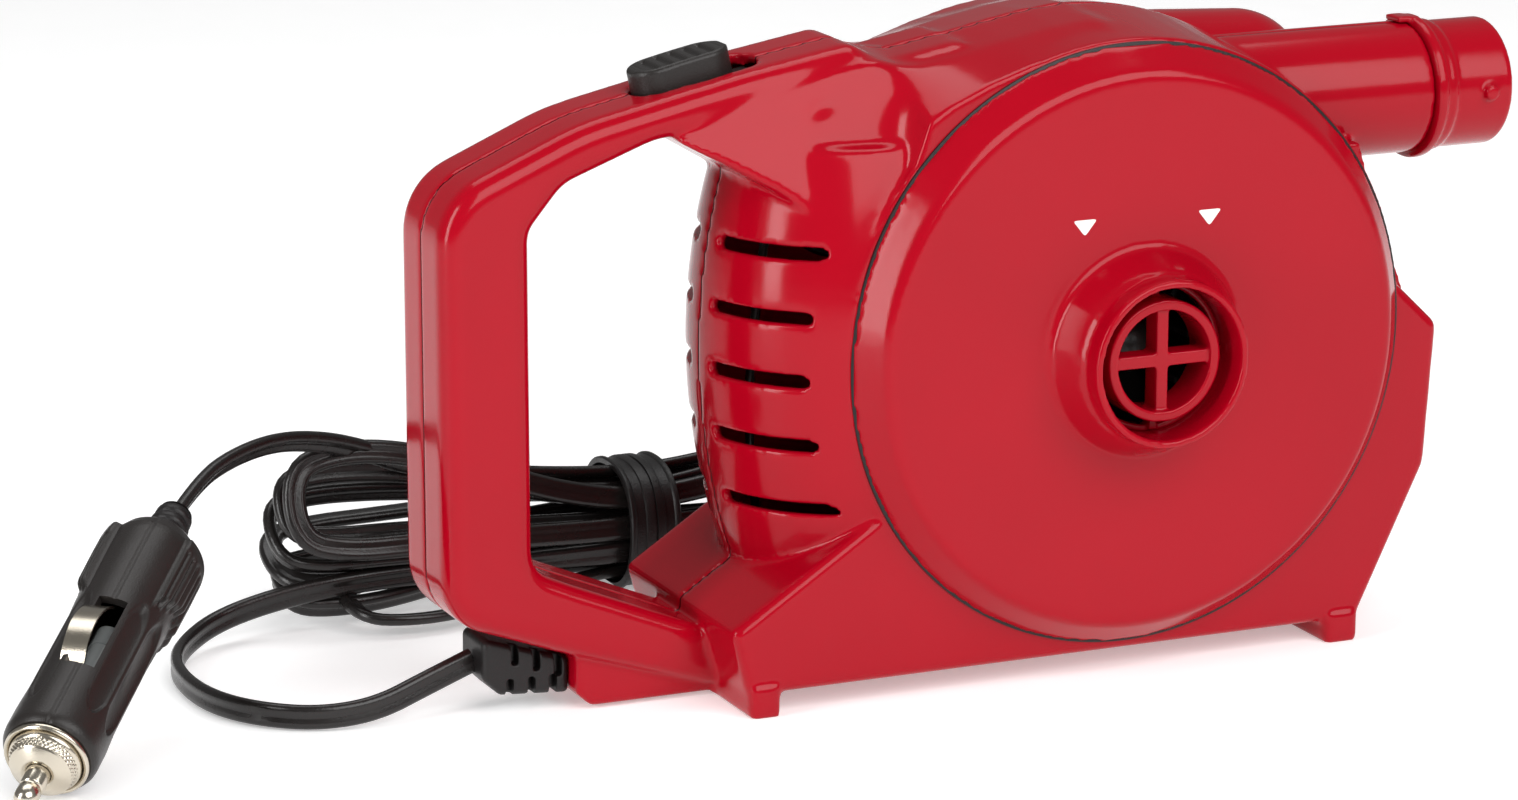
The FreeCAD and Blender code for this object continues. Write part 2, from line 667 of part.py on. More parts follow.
def motor_end_cap():
    cap = cylinder(MOTOR_R, on_axis(MOTOR_REAR_Y - 4), on_axis(MOTOR_REAR_Y))
    rim = tube(MOTOR_R - MOTOR_WALL, MOTOR_R - MOTOR_WALL - 2, on_axis(MOTOR_REAR_Y - 9), on_axis(MOTOR_REAR_Y - 3))
    boss = cylinder(6.0, on_axis(MOTOR_REAR_Y - 1), on_axis(MOTOR_REAR_Y + 3.5))
    return fused([cap, rim, boss]).cut(cylinder(BUSH_R, on_axis(MOTOR_REAR_Y - 6), on_axis(MOTOR_REAR_Y + 6)))


def bushing(start, end):
    return tube(BUSH_R, SHAFT_R + BUSH_GAP, on_axis(start), on_axis(end))


def magnets():
    ring = tube(MOTOR_R - MOTOR_WALL, MAGNET_IN_R, on_axis(6), on_axis(32))
    gap = Part.makeBox(40, 40, 12, Vector(AXIS_X - 20, 0, AXIS_Z - 6))
    return ring.cut(gap)


def armature():
    core = cylinder(ARMATURE_R, on_axis(8), on_axis(29))
    slots = []
    for k in range(5):
        slot = Part.makeBox(7, 40, 1.8, Vector(AXIS_X + 5.5, 0, AXIS_Z - 0.9))
        slot.rotate(on_axis(0), Y_AXIS, 72 * k)
        slots.append(slot)
    return core.cut(slots + [cylinder(SHAFT_R, on_axis(0), on_axis(50))])


def windings():
    coils = []
    for k in range(5):
        coil = Part.makeBox(4.6, 25, 1.7, Vector(AXIS_X + 5.8, 6, AXIS_Z - 0.85))
        coil.rotate(on_axis(0), Y_AXIS, 72 * k)
        coils.append(coil)
    ends = [tube(10.4, 4.0, on_axis(y), on_axis(y + 2.4)) for y in (5.6, 29.0)]
    return fused(coils + ends)


def commutator():
    ring = tube(COMMUTATOR_R, SHAFT_R, on_axis(32.2), on_axis(38.4))
    cuts = []
    for k in range(5):
        cut = Part.makeBox(2, 8, 0.5, Vector(AXIS_X + COMMUTATOR_R - 0.7, 32, AXIS_Z - 0.25))
        cut.rotate(on_axis(0), Y_AXIS, 72 * k + 36)
        cuts.append(cut)
    return ring.cut(cuts)


def brushes():
    made = []
    for side in (-1, 1):
        low = COMMUTATOR_R + 0.3
        box = Part.makeBox(6.0, 3.4, 3.4, Vector(AXIS_X + low, 33.6, AXIS_Z - 1.7))
        if side < 0:
            box.rotate(on_axis(0), Y_AXIS, 180)
        made.append(box)
    return Part.makeCompound(made)


def motor_terminals():
    made = []
    for x in (-9.0, 9.0):
        made.append(Part.makeBox(3.2, 5.5, 0.8, Vector(AXIS_X + x - 1.6, MOTOR_REAR_Y, AXIS_Z + 9)))
    return Part.makeCompound(made)


def capacitor():
    """Small disc between the motor's terminals."""
    return Part.makeCylinder(2.4, 2.2, Vector(AXIS_X - 1.1, MOTOR_REAR_Y + 2.8, AXIS_Z + 11.0), X_AXIS)


def motor_screws():
    made = []
    for degrees in (0, 180):
        head = cylinder(2.6, around_axis(12, degrees, PLATE_FRONT_Y - 1.6), around_axis(12, degrees, PLATE_FRONT_Y))
        shank = cylinder(1.3, around_axis(12, degrees, PLATE_FRONT_Y), around_axis(12, degrees, 1.0))
        made.append(head.fuse(shank))
    return Part.makeCompound(made)


def plate_screws():
    made = []
    for degrees in POST_DEGREES:
        seat = around_axis(POST_FROM_AXIS, degrees, PLATE_FRONT_Y)
        head = cylinder(2.6, around_axis(POST_FROM_AXIS, degrees, PLATE_FRONT_Y - 1.6), seat)
        shank = cylinder(SCREW_R, seat, around_axis(POST_FROM_AXIS, degrees, PLATE_SCREW_DEPTH))
        made.append(head.fuse(shank).removeSplitter())
    return Part.makeCompound(made)


def case_screws():
    made = []
    for x, z, _ in CASE_SCREWS:
        shank = cylinder(SCREW_R, Vector(x, -7.0, z), Vector(x, SCREW_HEAD_Y, z))
        head = cylinder(SCREW_HEAD_R, Vector(x, SCREW_HEAD_Y, z), Vector(x, SCREW_HEAD_Y + 2.2, z))
        recess = Part.makeBox(3.4, 1.2, 0.8, Vector(x - 1.7, SCREW_HEAD_Y + 1.2, z - 0.4))
        cross = Part.makeBox(0.8, 1.2, 3.4, Vector(x - 0.4, SCREW_HEAD_Y + 1.2, z - 1.7))
        made.append(shank.fuse(head).removeSplitter().cut([recess, cross]))
    return Part.makeCompound(made)


# ---------------------------------------------------------------- switch

def in_switch_frame(shape):
    shape.Placement = switch_frame().multiply(shape.Placement)
    return shape


def switch_button():
    top = BUTTON_HEIGHT
    body = capsule(BUTTON_LENGTH, BUTTON_WIDTH, -RECESS_DEPTH + 0.3, top)
    body = body.makeFillet(1.6, [e for e in body.Edges if e.BoundBox.ZMin > top - EPS])
    ridges = []
    for k in range(5):
        x = -7.2 + 3.6 * k
        half = 4.4 - 0.25 * abs(k - 2)
        ridges.append(cylinder(0.9, Vector(x, -half, top), Vector(x, half, top)))
    stem = Part.makeBox(STEM_LENGTH, STEM_WIDTH, 5.0, Vector(-STEM_LENGTH / 2, -STEM_WIDTH / 2, -5.6))
    return in_switch_frame(fused([body, stem] + ridges))


def switch_body():
    case = Part.makeBox(22.0, 8.4, 3.4, Vector(-6.0, -4.2, -6.4))
    channel = Part.makeBox(STEM_LENGTH + SWITCH_TRAVEL + 1.2, STEM_WIDTH + 0.8, 3.2,
                           Vector(-STEM_LENGTH / 2 - 0.6, -STEM_WIDTH / 2 - 0.4, -6.0))
    return in_switch_frame(case.cut(channel))


def switch_contacts():
    made = []
    for x in (5.0, 13.0):
        made.append(Part.makeBox(0.8, 5.0, 1.8, Vector(x, -2.5, -8.2)))
    return in_switch_frame(Part.makeCompound(made))


# ---------------------------------------------------------------- lead

def route_tube(points, radius, name):
    """A tube along straight runs joined by arcs as large as the runs allow; prints the arcs' radii."""
    edges = []
    radii = []
    last = points[0]
    for i in range(1, len(points) - 1):
        before = points[i] - points[i - 1]
        after = points[i + 1] - points[i]
        half_turn = before.getAngle(after) / 2
        cut = 0.45 * min(before.Length, after.Length)
        radii.append(cut / math.tan(half_turn))
        before.normalize()
        after.normalize()
        start = points[i] - before * cut
        end = points[i] + after * cut
        bulge = radii[-1] * (1 / math.cos(half_turn) - 1)
        middle = points[i] + (after - before).normalize() * bulge
        edges.append(Part.makeLine(last, start))
        edges.append(Part.Arc(start, middle, end).toShape())
        last = end
    edges.append(Part.makeLine(last, points[-1]))
    spine = Part.Wire(edges)
    ring = Part.Wire(Part.makeCircle(radius, points[0], points[1] - points[0]))
    swept = spine.makePipeShell([ring], True, True)
    expected = math.pi * radius ** 2 * spine.Length
    print("%s: length %.0f, volume %.0f against %.0f, bend radii %s" % (
        name, spine.Length, swept.Volume, expected, [round(r) for r in radii]))
    return swept


def plug_frame():
    """Local z from the nose ring towards the tail, local x up."""
    axis = Vector(PLUG_AXIS).normalize()
    up = (Z_AXIS - axis * axis.z).normalize()
    across = axis.cross(up)
    matrix = FreeCAD.Matrix(
        up.x, across.x, axis.x, PLUG_NOSE.x,
        up.y, across.y, axis.y, PLUG_NOSE.y,
        up.z, across.z, axis.z, PLUG_NOSE.z, 0, 0, 0, 1)
    return FreeCAD.Placement(matrix)


def tail_route():
    axis = Vector(PLUG_AXIS).normalize()
    start = PLUG_NOSE + axis * (PLUG_LENGTH + PLUG_RELIEF_LENGTH)
    return [start] + TAIL_ROUTE_END


def ellipse(x, half_y, half_z, centre_z):
    """A closed wire round the hank's middle line, in the YZ plane at x."""
    long_axis = Z_AXIS if half_z > half_y else Y_AXIS
    short_axis = X_AXIS.cross(long_axis)
    matrix = FreeCAD.Matrix(
        long_axis.x, short_axis.x, X_AXIS.x, x,
        long_axis.y, short_axis.y, X_AXIS.y, HANK_Y,
        long_axis.z, short_axis.z, X_AXIS.z, centre_z, 0, 0, 0, 1)
    curve = Part.Ellipse(Vector(0, 0, 0), max(half_y, half_z), min(half_y, half_z)).toShape()
    curve.Placement = FreeCAD.Placement(matrix)
    return Part.Wire(curve)


def hank():
    rings = [ellipse(x, half_y, half_z, HANK_LOW_Z + half_z) for x, half_y, half_z in HANK_SECTIONS]
    return Part.makeLoft(rings, True, False)


def hank_tie(coil):
    """A band round the hank's middle, standing on the same floor."""
    half_y = TIE_HALF_Y + TIE_THICK
    half_z = TIE_HALF_Z + TIE_THICK
    ring = ellipse(TIE_X - TIE_WIDTH / 2, half_y, half_z, HANK_LOW_Z + TIE_HALF_Z)
    band = Part.Face(ring).extrude(Vector(TIE_WIDTH, 0, 0))
    floor = Part.makeBox(2 * TIE_WIDTH, 60, 10, Vector(TIE_X - TIE_WIDTH, HANK_Y - 30, -10))
    return band.cut([coil, floor])


def strain_relief():
    outline = [(-119.5, 17.6, 1.5), (-119.5, 8.4, 2.5), (-115.5, 4.4, 2), (-99.6, 3.2, 1), (-99.6, 11.2, 1)]
    block_half = 7.0
    body = prism(outline, 2 * block_half)
    body.translate(Vector(0, block_half, 0))
    body = body.makeFillet(1.6, edges_at_y(body, -block_half) + edges_at_y(body, block_half))
    slots = []
    for x in (-114.2, -109.2, -104.2):
        for side in (-1, 1):
            y = side * 7.0 - (3.0 if side > 0 else 0)
            slots.append(Part.makeBox(1.7, 3.0, 5.6, Vector(x, y, 2.4)))
            slots.append(Part.makeBox(1.7, 3.0, 5.0, Vector(x + 1.2, y, 11.6 - 0.36 * (x + 114.2) - 0.6)))
        slots.append(Part.makeBox(1.7, 20, 2.2, Vector(x, -10, 2.0)))
    neck = Part.makeBox(9.0, 8, 5, Vector(-100.5, -4, 5.2))
    flange = Part.makeBox(2.0, 12, 4.6, Vector(-94.5, -6, 5.4))
    return fused([body.cut(slots), neck, flange])


# ---------------------------------------------------------------- 12 volt plug

def in_plug_frame(shape):
    shape.Placement = plug_frame().multiply(shape.Placement)
    return shape


def lathe(profile):
    """A solid turned round the plug's axis from (along, radius) points."""
    points = [Vector(radius, 0, along) for along, radius in profile]
    points = [Vector(0, 0, profile[0][0])] + points + [Vector(0, 0, profile[-1][0])]
    wire = Part.makePolygon(points + points[:1])
    return Part.makeSolid(Part.Face(wire).revolve(Vector(0, 0, 0), Z_AXIS, 360))


def plug_half(side):
    body = lathe([
        (1.2, 9.6), (2.6, PLUG_R), (66, PLUG_R), (70, PLUG_R - 1.0),
        (73, PLUG_R - 3.2), (PLUG_LENGTH, PLUG_R - 5.6)])
    pad = Part.makeBox(11, 2 * PLUG_R + 3.2, 17, Vector(-5.5, -PLUG_R - 1.6, 51))
    pad = pad.makeFillet(2.4, [e for e in pad.Edges if abs(e.BoundBox.XLength - 11) < EPS])
    ribs = []
    for k in range(5):
        for y in (-PLUG_R - 2.0, PLUG_R + 0.8):
            ribs.append(Part.makeBox(0.9, 1.2, 14.0, Vector(-4.45 + 2 * k, y, 50.5)))
    hollow = lathe([(0, 7.6), (40, 7.6), (42, 5.0), (66, 5.0)])
    socket = lathe([(65, 3.0), (PLUG_LENGTH + 1, 3.0)])
    windows = Part.makeBox(30, CONTACT_WIDTH + 0.8, CONTACT_LENGTH + 1.6,
                           Vector(-15, -CONTACT_WIDTH / 2 - 0.4, CONTACT_AT - CONTACT_LENGTH / 2 - 0.8))
    whole = fused([body, pad]).cut(ribs + [hollow, socket, windows])
    half = Part.makeBox(60, 60, 160, Vector(-30, 0 if side > 0 else -60, -40))
    return main_solid(whole.common(half))


def plug_nose_cap():
    cap = lathe([(-4.4, 4.4), (-3.4, 7.4), (-0.4, 7.9), (1.2, 7.9)])
    core = lathe([(1.2, 7.4), (10.0, 7.4)])
    knurls = []
    for k in range(30):
        groove = Part.makeBox(1.0, 0.7, 2.4, Vector(7.45, -0.35, -3.2))
        groove.rotate(Vector(0, 0, 0), Z_AXIS, 12 * k)
        knurls.append(groove)
    bore = lathe([(-5, TIP_R + 0.06), (-2.4, TIP_R + 0.06)])
    inside = lathe([(-2.4, 5.4), (11, 5.4)])
    return fused([cap, core]).cut(knurls + [bore, inside])


def plug_ring():
    ring = lathe([(-0.5, 8.6), (0.0, 9.1), (1.2, 9.1), (1.2, 8.6)])
    return ring.cut(lathe([(-1, 7.95), (2, 7.95)]))


def plug_tip():
    return lathe([(-14.0, 1.3), (-13.4, 2.1), (-12.2, TIP_R), (-1.6, TIP_R), (-1.6, 4.6), (TIP_FLANGE_Z, 4.6)])


def tip_spring():
    """The spring behind the tip, at its compressed length."""
    coil = Part.makeHelix(SPRING_PITCH, SPRING_LENGTH, SPRING_R)
    ring = Part.Wire(Part.makeCircle(SPRING_WIRE_R, Vector(SPRING_R, 0, 0), Y_AXIS))
    swept = Part.Wire(coil).makePipeShell([ring], True, True)
    return swept.translated(Vector(0, 0, TIP_FLANGE_Z + TIP_TRAVEL + 2 * SPRING_WIRE_R))


def fuse_link():
    glass = lathe([(13.4, 3.0), (38.0, 3.0)])
    caps = [lathe([(11.6, 3.2), (17.0, 3.2)]), lathe([(34.5, 3.2), (40.0, 3.2)])]
    return fused([glass] + caps)


def ground_contact(side):
    """A bowed spring strip in its window, held at its nose end."""
    low = CONTACT_AT - CONTACT_LENGTH / 2
    top = CONTACT_AT + CONTACT_LENGTH / 2
    foot = Vector(8.3, 0, low)
    crest = Vector(12.3, 0, CONTACT_AT + 1.0)
    heel = Vector(8.3, 0, top)
    outer = Part.Arc(foot, crest, heel).toShape()
    strip = outer.extrude(Vector(0, CONTACT_WIDTH, 0))
    strip.translate(Vector(0, -CONTACT_WIDTH / 2, 0))
    solid = strip.makeOffsetShape(0.5, 0.01, fill=True)
    if side < 0:
        solid.rotate(Vector(0, 0, 0), Z_AXIS, 180)
    return solid


def plug_relief():
    end = PLUG_LENGTH + PLUG_RELIEF_LENGTH
    profile = [(PLUG_LENGTH - 6, 3.0), (PLUG_LENGTH, 3.0), (PLUG_LENGTH, PLUG_RELIEF_R)]
    pitch = PLUG_RELIEF_LENGTH / PLUG_RELIEF_RINGS
    for k in range(PLUG_RELIEF_RINGS):
        start = PLUG_LENGTH + k * pitch
        radius = PLUG_RELIEF_R - 0.3 * k
        profile += [(start + 0.1, radius), (start + pitch * 0.62, radius - 0.1),
                    (start + pitch * 0.68, radius - 0.7), (start + pitch * 0.94, radius - 0.7)]
    profile.append((end, 3.2))
    return lathe(profile)


# ---------------------------------------------------------------- internal wiring

def motor_lead():
    return route_tube([
        Vector(-60, 0, 128.0), Vector(-52, 1, 116.0), Vector(-45, 6, 102.0), Vector(-34, 14, 92.0),
        Vector(-19, 21, 87.0), Vector(-4, 25.5, 85.0)], 1.0, "motor_lead")


def supply_lead():
    return route_tube([
        Vector(-90, 0, 7.7), Vector(-76, 0.5, 7.8), Vector(-62, 1.0, 9.6), Vector(-53, 1.5, 19.0),
        Vector(-51, 2.0, 33.0), Vector(-53, 2.0, 50.0), Vector(-54, 0.0, 68.0),
        Vector(-53.5, -3.0, 86.0), Vector(-53, -6.0, 99.0), Vector(-51.6, -7.0, 110.0),
        Vector(-52.4, -5.6, 120.0), Vector(-55.0, -2.0, 128.0)], 1.0, "supply_lead")


def main():
    os.makedirs("parts", exist_ok=True)
    front, rear = shells()
    save("front_shell", front)
    save("rear_shell", rear)
    save("volute_cover", volute_cover())
    save("port_grille", port_grille())
    save("cover_seal", cover_seal())
    save("inflate_nozzle", nozzle())
    save("impeller", impeller())
    save("back_plate", back_plate())
    save("motor_can", motor_can())
    save("motor_end_cap", motor_end_cap())
    save("motor_shaft", cylinder(SHAFT_R, on_axis(SHAFT_REAR_Y), on_axis(SHAFT_FRONT_Y)))
    save("front_bushing", bushing(-5.2, 1.2))
    save("rear_bushing", bushing(MOTOR_REAR_Y - 3, MOTOR_REAR_Y + 3.5))
    save("motor_magnets", magnets())
    save("armature_core", armature())
    save("armature_windings", windings())
    save("commutator", commutator())
    save("brushes", brushes())
    save("motor_terminals", motor_terminals())
    save("suppression_capacitor", capacitor())
    save("motor_screws", motor_screws())
    save("plate_screws", plate_screws())
    save("case_screws", case_screws())
    save("switch_button", switch_button())
    save("switch_body", switch_body())
    save("switch_contacts", switch_contacts())
    save("motor_lead", motor_lead())
    save("supply_lead", supply_lead())
    relief = strain_relief()
    save("strain_relief", relief)
    coil = hank()
    save("cord_hank", coil)
    save("hank_tie", hank_tie(coil))
    save("cord_lead", main_solid(route_tube(LEAD_ROUTE, CORD_R, "cord_lead").cut([coil, relief])))
    sleeve = in_plug_frame(plug_relief())
    save("plug_relief", sleeve)
    save("cord_tail", main_solid(route_tube(tail_route(), CORD_R, "cord_tail").cut([coil, sleeve])))
    save("plug_shell_left", in_plug_frame(plug_half(1)))
    save("plug_shell_right", in_plug_frame(plug_half(-1)))
    save("plug_nose_cap", in_plug_frame(plug_nose_cap()))
    save("plug_ring", in_plug_frame(plug_ring()))
    save("plug_tip", in_plug_frame(plug_tip()))
    save("tip_spring", in_plug_frame(tip_spring()))
    save("plug_fuse", in_plug_frame(fuse_link()))
    save("ground_contact_upper", in_plug_frame(ground_contact(1)))
    save("ground_contact_lower", in_plug_frame(ground_contact(-1)))


main()
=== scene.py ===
import json
import math

import bmesh
import bpy
from mathutils import Matrix, Vector

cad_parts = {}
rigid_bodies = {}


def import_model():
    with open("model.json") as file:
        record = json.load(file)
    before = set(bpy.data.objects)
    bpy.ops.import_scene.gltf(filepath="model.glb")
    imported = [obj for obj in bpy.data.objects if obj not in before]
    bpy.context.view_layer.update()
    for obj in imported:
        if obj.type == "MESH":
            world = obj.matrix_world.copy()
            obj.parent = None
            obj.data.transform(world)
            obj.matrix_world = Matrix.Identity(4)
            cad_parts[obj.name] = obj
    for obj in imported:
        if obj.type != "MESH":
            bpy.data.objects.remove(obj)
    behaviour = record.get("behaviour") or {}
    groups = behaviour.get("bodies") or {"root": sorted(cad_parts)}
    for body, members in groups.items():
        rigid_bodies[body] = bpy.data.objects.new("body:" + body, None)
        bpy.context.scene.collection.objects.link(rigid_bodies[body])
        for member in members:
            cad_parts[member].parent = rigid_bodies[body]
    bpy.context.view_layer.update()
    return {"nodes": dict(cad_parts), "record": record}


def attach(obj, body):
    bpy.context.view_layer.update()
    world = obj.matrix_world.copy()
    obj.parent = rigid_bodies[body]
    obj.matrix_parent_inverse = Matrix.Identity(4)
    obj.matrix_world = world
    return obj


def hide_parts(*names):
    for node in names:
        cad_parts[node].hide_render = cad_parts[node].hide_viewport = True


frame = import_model()
MM = 0.001

# The fan's axis and the cover's face, in millimetres: +Z up, +X to the nozzle, -Y out of the port
AXIS_X = 23.3
AXIS_Z = 74.4
COVER_FACE_Y = -38.5


# ------------------------------------------------------------------ camera

LENS_MM = 123.3
SENSOR_MM = 36.0
LOOK_AT = Vector((-51.6, 0.0, 62.4)) * MM
DISTANCE = 1.1398
AZIMUTH = math.radians(-23.8)
ELEVATION = math.radians(14.07)


def add_camera():
    """A long lens, looking down a little from the left of the port."""
    data = bpy.data.cameras.new("camera")
    data.lens = LENS_MM
    data.sensor_width = SENSOR_MM
    camera = bpy.data.objects.new("camera", data)
    bpy.context.collection.objects.link(camera)
    forward = Vector((-math.sin(AZIMUTH) * math.cos(ELEVATION),
                      math.cos(AZIMUTH) * math.cos(ELEVATION), -math.sin(ELEVATION)))
    camera.location = LOOK_AT - forward * DISTANCE
    camera.rotation_euler = forward.to_track_quat("-Z", "Y").to_euler()
    bpy.context.scene.camera = camera


add_camera()


# ------------------------------------------------------------------ materials

# Sockets of a Mix node that mixes two colours
MIX_FACTOR = 0
MIX_A = 6
MIX_B = 7
MIX_RESULT = 2
BROAD_DETAIL = 3.0
FINE_DETAIL = 2.0
GRAIN_DEPTH = 0.0004
LEAST_ROUGHNESS = 0.02


def socket(node, name, value):
    """Sets a shader node's input."""
    node.inputs[name].default_value = value


def surface(name, base, shade, roughness, grain=900.0, bump=0.05, mottle=60.0,
            metallic=0.0, specular=0.5, spread=0.06, stretch=(1, 1, 1)):
    """A moulded or metal finish: soft colour mottle, uneven roughness and a fine surface grain."""
    made = bpy.data.materials.new(name)
    made.use_nodes = True
    nodes = made.node_tree.nodes
    links = made.node_tree.links
    shader = nodes["Principled BSDF"]
    socket(shader, "Metallic", metallic)
    socket(shader, "Specular IOR Level", specular)
    place = nodes.new("ShaderNodeTexCoord")
    scaled = nodes.new("ShaderNodeMapping")
    scaled.inputs["Scale"].default_value = stretch
    links.new(place.outputs["Object"], scaled.inputs["Vector"])

    broad = nodes.new("ShaderNodeTexNoise")
    socket(broad, "Scale", mottle)
    socket(broad, "Detail", BROAD_DETAIL)
    links.new(scaled.outputs["Vector"], broad.inputs["Vector"])
    tint = nodes.new("ShaderNodeMix")
    tint.data_type = "RGBA"
    tint.inputs[MIX_A].default_value = (*shade, 1)
    tint.inputs[MIX_B].default_value = (*base, 1)
    links.new(broad.outputs["Fac"], tint.inputs[MIX_FACTOR])
    links.new(tint.outputs[MIX_RESULT], shader.inputs["Base Color"])

    fine = nodes.new("ShaderNodeTexNoise")
    socket(fine, "Scale", grain)
    socket(fine, "Detail", FINE_DETAIL)
    links.new(scaled.outputs["Vector"], fine.inputs["Vector"])
    rough = nodes.new("ShaderNodeMapRange")
    socket(rough, "To Min", max(LEAST_ROUGHNESS, roughness - spread))
    socket(rough, "To Max", roughness + spread)
    links.new(broad.outputs["Fac"], rough.inputs["Value"])
    links.new(rough.outputs["Result"], shader.inputs["Roughness"])
    relief = nodes.new("ShaderNodeBump")
    socket(relief, "Strength", bump)
    socket(relief, "Distance", GRAIN_DEPTH)
    links.new(fine.outputs["Fac"], relief.inputs["Height"])
    links.new(relief.outputs["Normal"], shader.inputs["Normal"])
    return made


def red_gloss(name):
    """The casing's glossy red plastic."""
    return surface(name, (0.36, 0.0006, 0.010), (0.32, 0.0005, 0.008), 0.14, grain=420, bump=0.03,
                   mottle=30, specular=0.22)


CASING_SEAM_HALF = 0.35 * MM
CASING_SEAM_CORE = 0.6
CASING_SEAM_COLOUR = (0.035, 0.001, 0.003)


def with_seam(material, half_width):
    """Adds the fine dark line where the two halves of the casing meet, on the plane y = 0."""
    nodes = material.node_tree.nodes
    links = material.node_tree.links
    shader = nodes["Principled BSDF"]
    place_in = nodes.new("ShaderNodeTexCoord")
    axes = nodes.new("ShaderNodeSeparateXYZ")
    links.new(place_in.outputs["Object"], axes.inputs["Vector"])
    distance = nodes.new("ShaderNodeMath")
    distance.operation = "ABSOLUTE"
    links.new(axes.outputs["Y"], distance.inputs[0])
    line = nodes.new("ShaderNodeMapRange")
    socket(line, "From Min", CASING_SEAM_CORE * half_width)
    socket(line, "From Max", half_width)
    socket(line, "To Min", 1.0)
    socket(line, "To Max", 0.0)
    links.new(distance.outputs["Value"], line.inputs["Value"])
    dark = nodes.new("ShaderNodeMix")
    dark.data_type = "RGBA"
    links.new(line.outputs["Result"], dark.inputs[MIX_FACTOR])
    links.new(shader.inputs["Base Color"].links[0].from_socket, dark.inputs[MIX_A])
    dark.inputs[MIX_B].default_value = (*CASING_SEAM_COLOUR, 1)
    links.new(dark.outputs[MIX_RESULT], shader.inputs["Base Color"])
    return material


RED = red_gloss("red_gloss_moulding")
SEAMED_RED = with_seam(red_gloss("red_gloss_halves"), CASING_SEAM_HALF)
BLACK = surface("black_satin_moulding", (0.018, 0.015, 0.014), (0.013, 0.011, 0.010), 0.36, grain=2600,
                bump=0.18, specular=0.32)
PVC = surface("black_soft_pvc", (0.013, 0.011, 0.010), (0.009, 0.007, 0.007), 0.27, grain=1600, bump=0.10,
              mottle=120, specular=0.42)
RUBBER = surface("black_rubber", (0.010, 0.008, 0.008), (0.006, 0.005, 0.005), 0.42, grain=2200, bump=0.25,
                 specular=0.35)
WHITE_PLASTIC = surface("natural_white_moulding", (0.72, 0.71, 0.67), (0.62, 0.61, 0.57), 0.42,
                        grain=1500, bump=0.1)
NICKEL = surface("nickel_plate", (0.60, 0.55, 0.46), (0.50, 0.45, 0.37), 0.20, grain=2500, bump=0.05,
                 metallic=1.0, spread=0.05)
STEEL = surface("turned_steel", (0.62, 0.62, 0.63), (0.48, 0.48, 0.49), 0.28, grain=3000, bump=0.12,
                metallic=1.0)
ZINC = surface("zinc_plated_steel", (0.56, 0.58, 0.60), (0.44, 0.46, 0.49), 0.34, grain=800, bump=0.1,
               mottle=90, metallic=1.0)
BLACK_STEEL = surface("blackened_steel", (0.06, 0.06, 0.06), (0.03, 0.03, 0.03), 0.4, grain=2400, bump=0.15,
                      metallic=0.8)
BRONZE = surface("sintered_bronze", (0.60, 0.40, 0.18), (0.45, 0.28, 0.12), 0.38, grain=3200, bump=0.3,
                 metallic=1.0)
COPPER = surface("enamelled_copper", (0.62, 0.25, 0.11), (0.42, 0.15, 0.06), 0.26, grain=2600, bump=0.4,
                 metallic=1.0, stretch=(1, 8, 1))
FERRITE = surface("ferrite", (0.09, 0.09, 0.10), (0.05, 0.05, 0.055), 0.55, grain=3000, bump=0.4)
CARBON = surface("carbon_block", (0.035, 0.035, 0.037), (0.02, 0.02, 0.02), 0.5, grain=2800, bump=0.4)
CERAMIC = surface("dipped_ceramic", (0.42, 0.17, 0.04), (0.33, 0.12, 0.03), 0.3, grain=900, bump=0.15)
MARK_WHITE = surface("white_marking", (0.86, 0.85, 0.84), (0.78, 0.77, 0.76), 0.4, grain=1500, bump=0.1)


def fuse_glass():
    """Clear fuse tube with a faint smoky streak."""
    made = surface("fuse_glass", (0.90, 0.94, 0.94), (0.80, 0.86, 0.86), 0.08, grain=600, bump=0.03)
    shader = made.node_tree.nodes["Principled BSDF"]
    socket(shader, "Alpha", 0.35)
    socket(shader, "IOR", 1.45)
    return made


FUSE = fuse_glass()
NODE_MATERIALS = {
    "casing_red": RED, "black_plastic": BLACK, "blower_plastic": WHITE_PLASTIC, "seal_rubber": RUBBER,
    "lead_pvc": PVC, "nickel": NICKEL, "bright_steel": STEEL, "black_steel": BLACK_STEEL,
    "zinc_steel": ZINC, "bronze": BRONZE, "copper": COPPER, "magnet": FERRITE, "carbon": CARBON,
    "capacitor": CERAMIC, "fuse_glass": FUSE,
}
SLOT_OF = {part["node"]: part["material_slot"] for part in frame["record"]["subparts"]}


def dress(obj, material):
    """Gives an object one material."""
    obj.data.materials.clear()
    obj.data.materials.append(material)


for node, node_object in frame["nodes"].items():
    for holder in [node_object] + list(node_object.children):
        if holder.type == "MESH":
            for material_slot in holder.material_slots:
                material_slot.material = NODE_MATERIALS[SLOT_OF[node]]


# ------------------------------------------------------------------ shape and mesh helpers

WELD = 1e-7


def smooth_step(low, high, value):
    """Rises gently from 0 at low to 1 at high."""
    part = max(0.0, min(1.0, (value - low) / (high - low)))
    return part * part * (3 - 2 * part)


def between(pairs, at):
    """A value read from a table of (position, value), in straight lines."""
    if at <= pairs[0][0]:
        return pairs[0][1]
    for (a, low), (b, high) in zip(pairs, pairs[1:]):
        if at <= b:
            return low + (high - low) * (at - a) / (b - a)
    return pairs[-1][1]


def mesh_object(name, vertices, faces, material, smooth=True):
    """A new object from vertices in metres and faces."""
    data = bpy.data.meshes.new(name)
    data.from_pydata([tuple(v) for v in vertices], [], faces)
    data.validate()
    made = bpy.data.objects.new(name, data)
    bpy.context.collection.objects.link(made)
    data.materials.append(material)
    for face in data.polygons:
        face.use_smooth = smooth
    return made


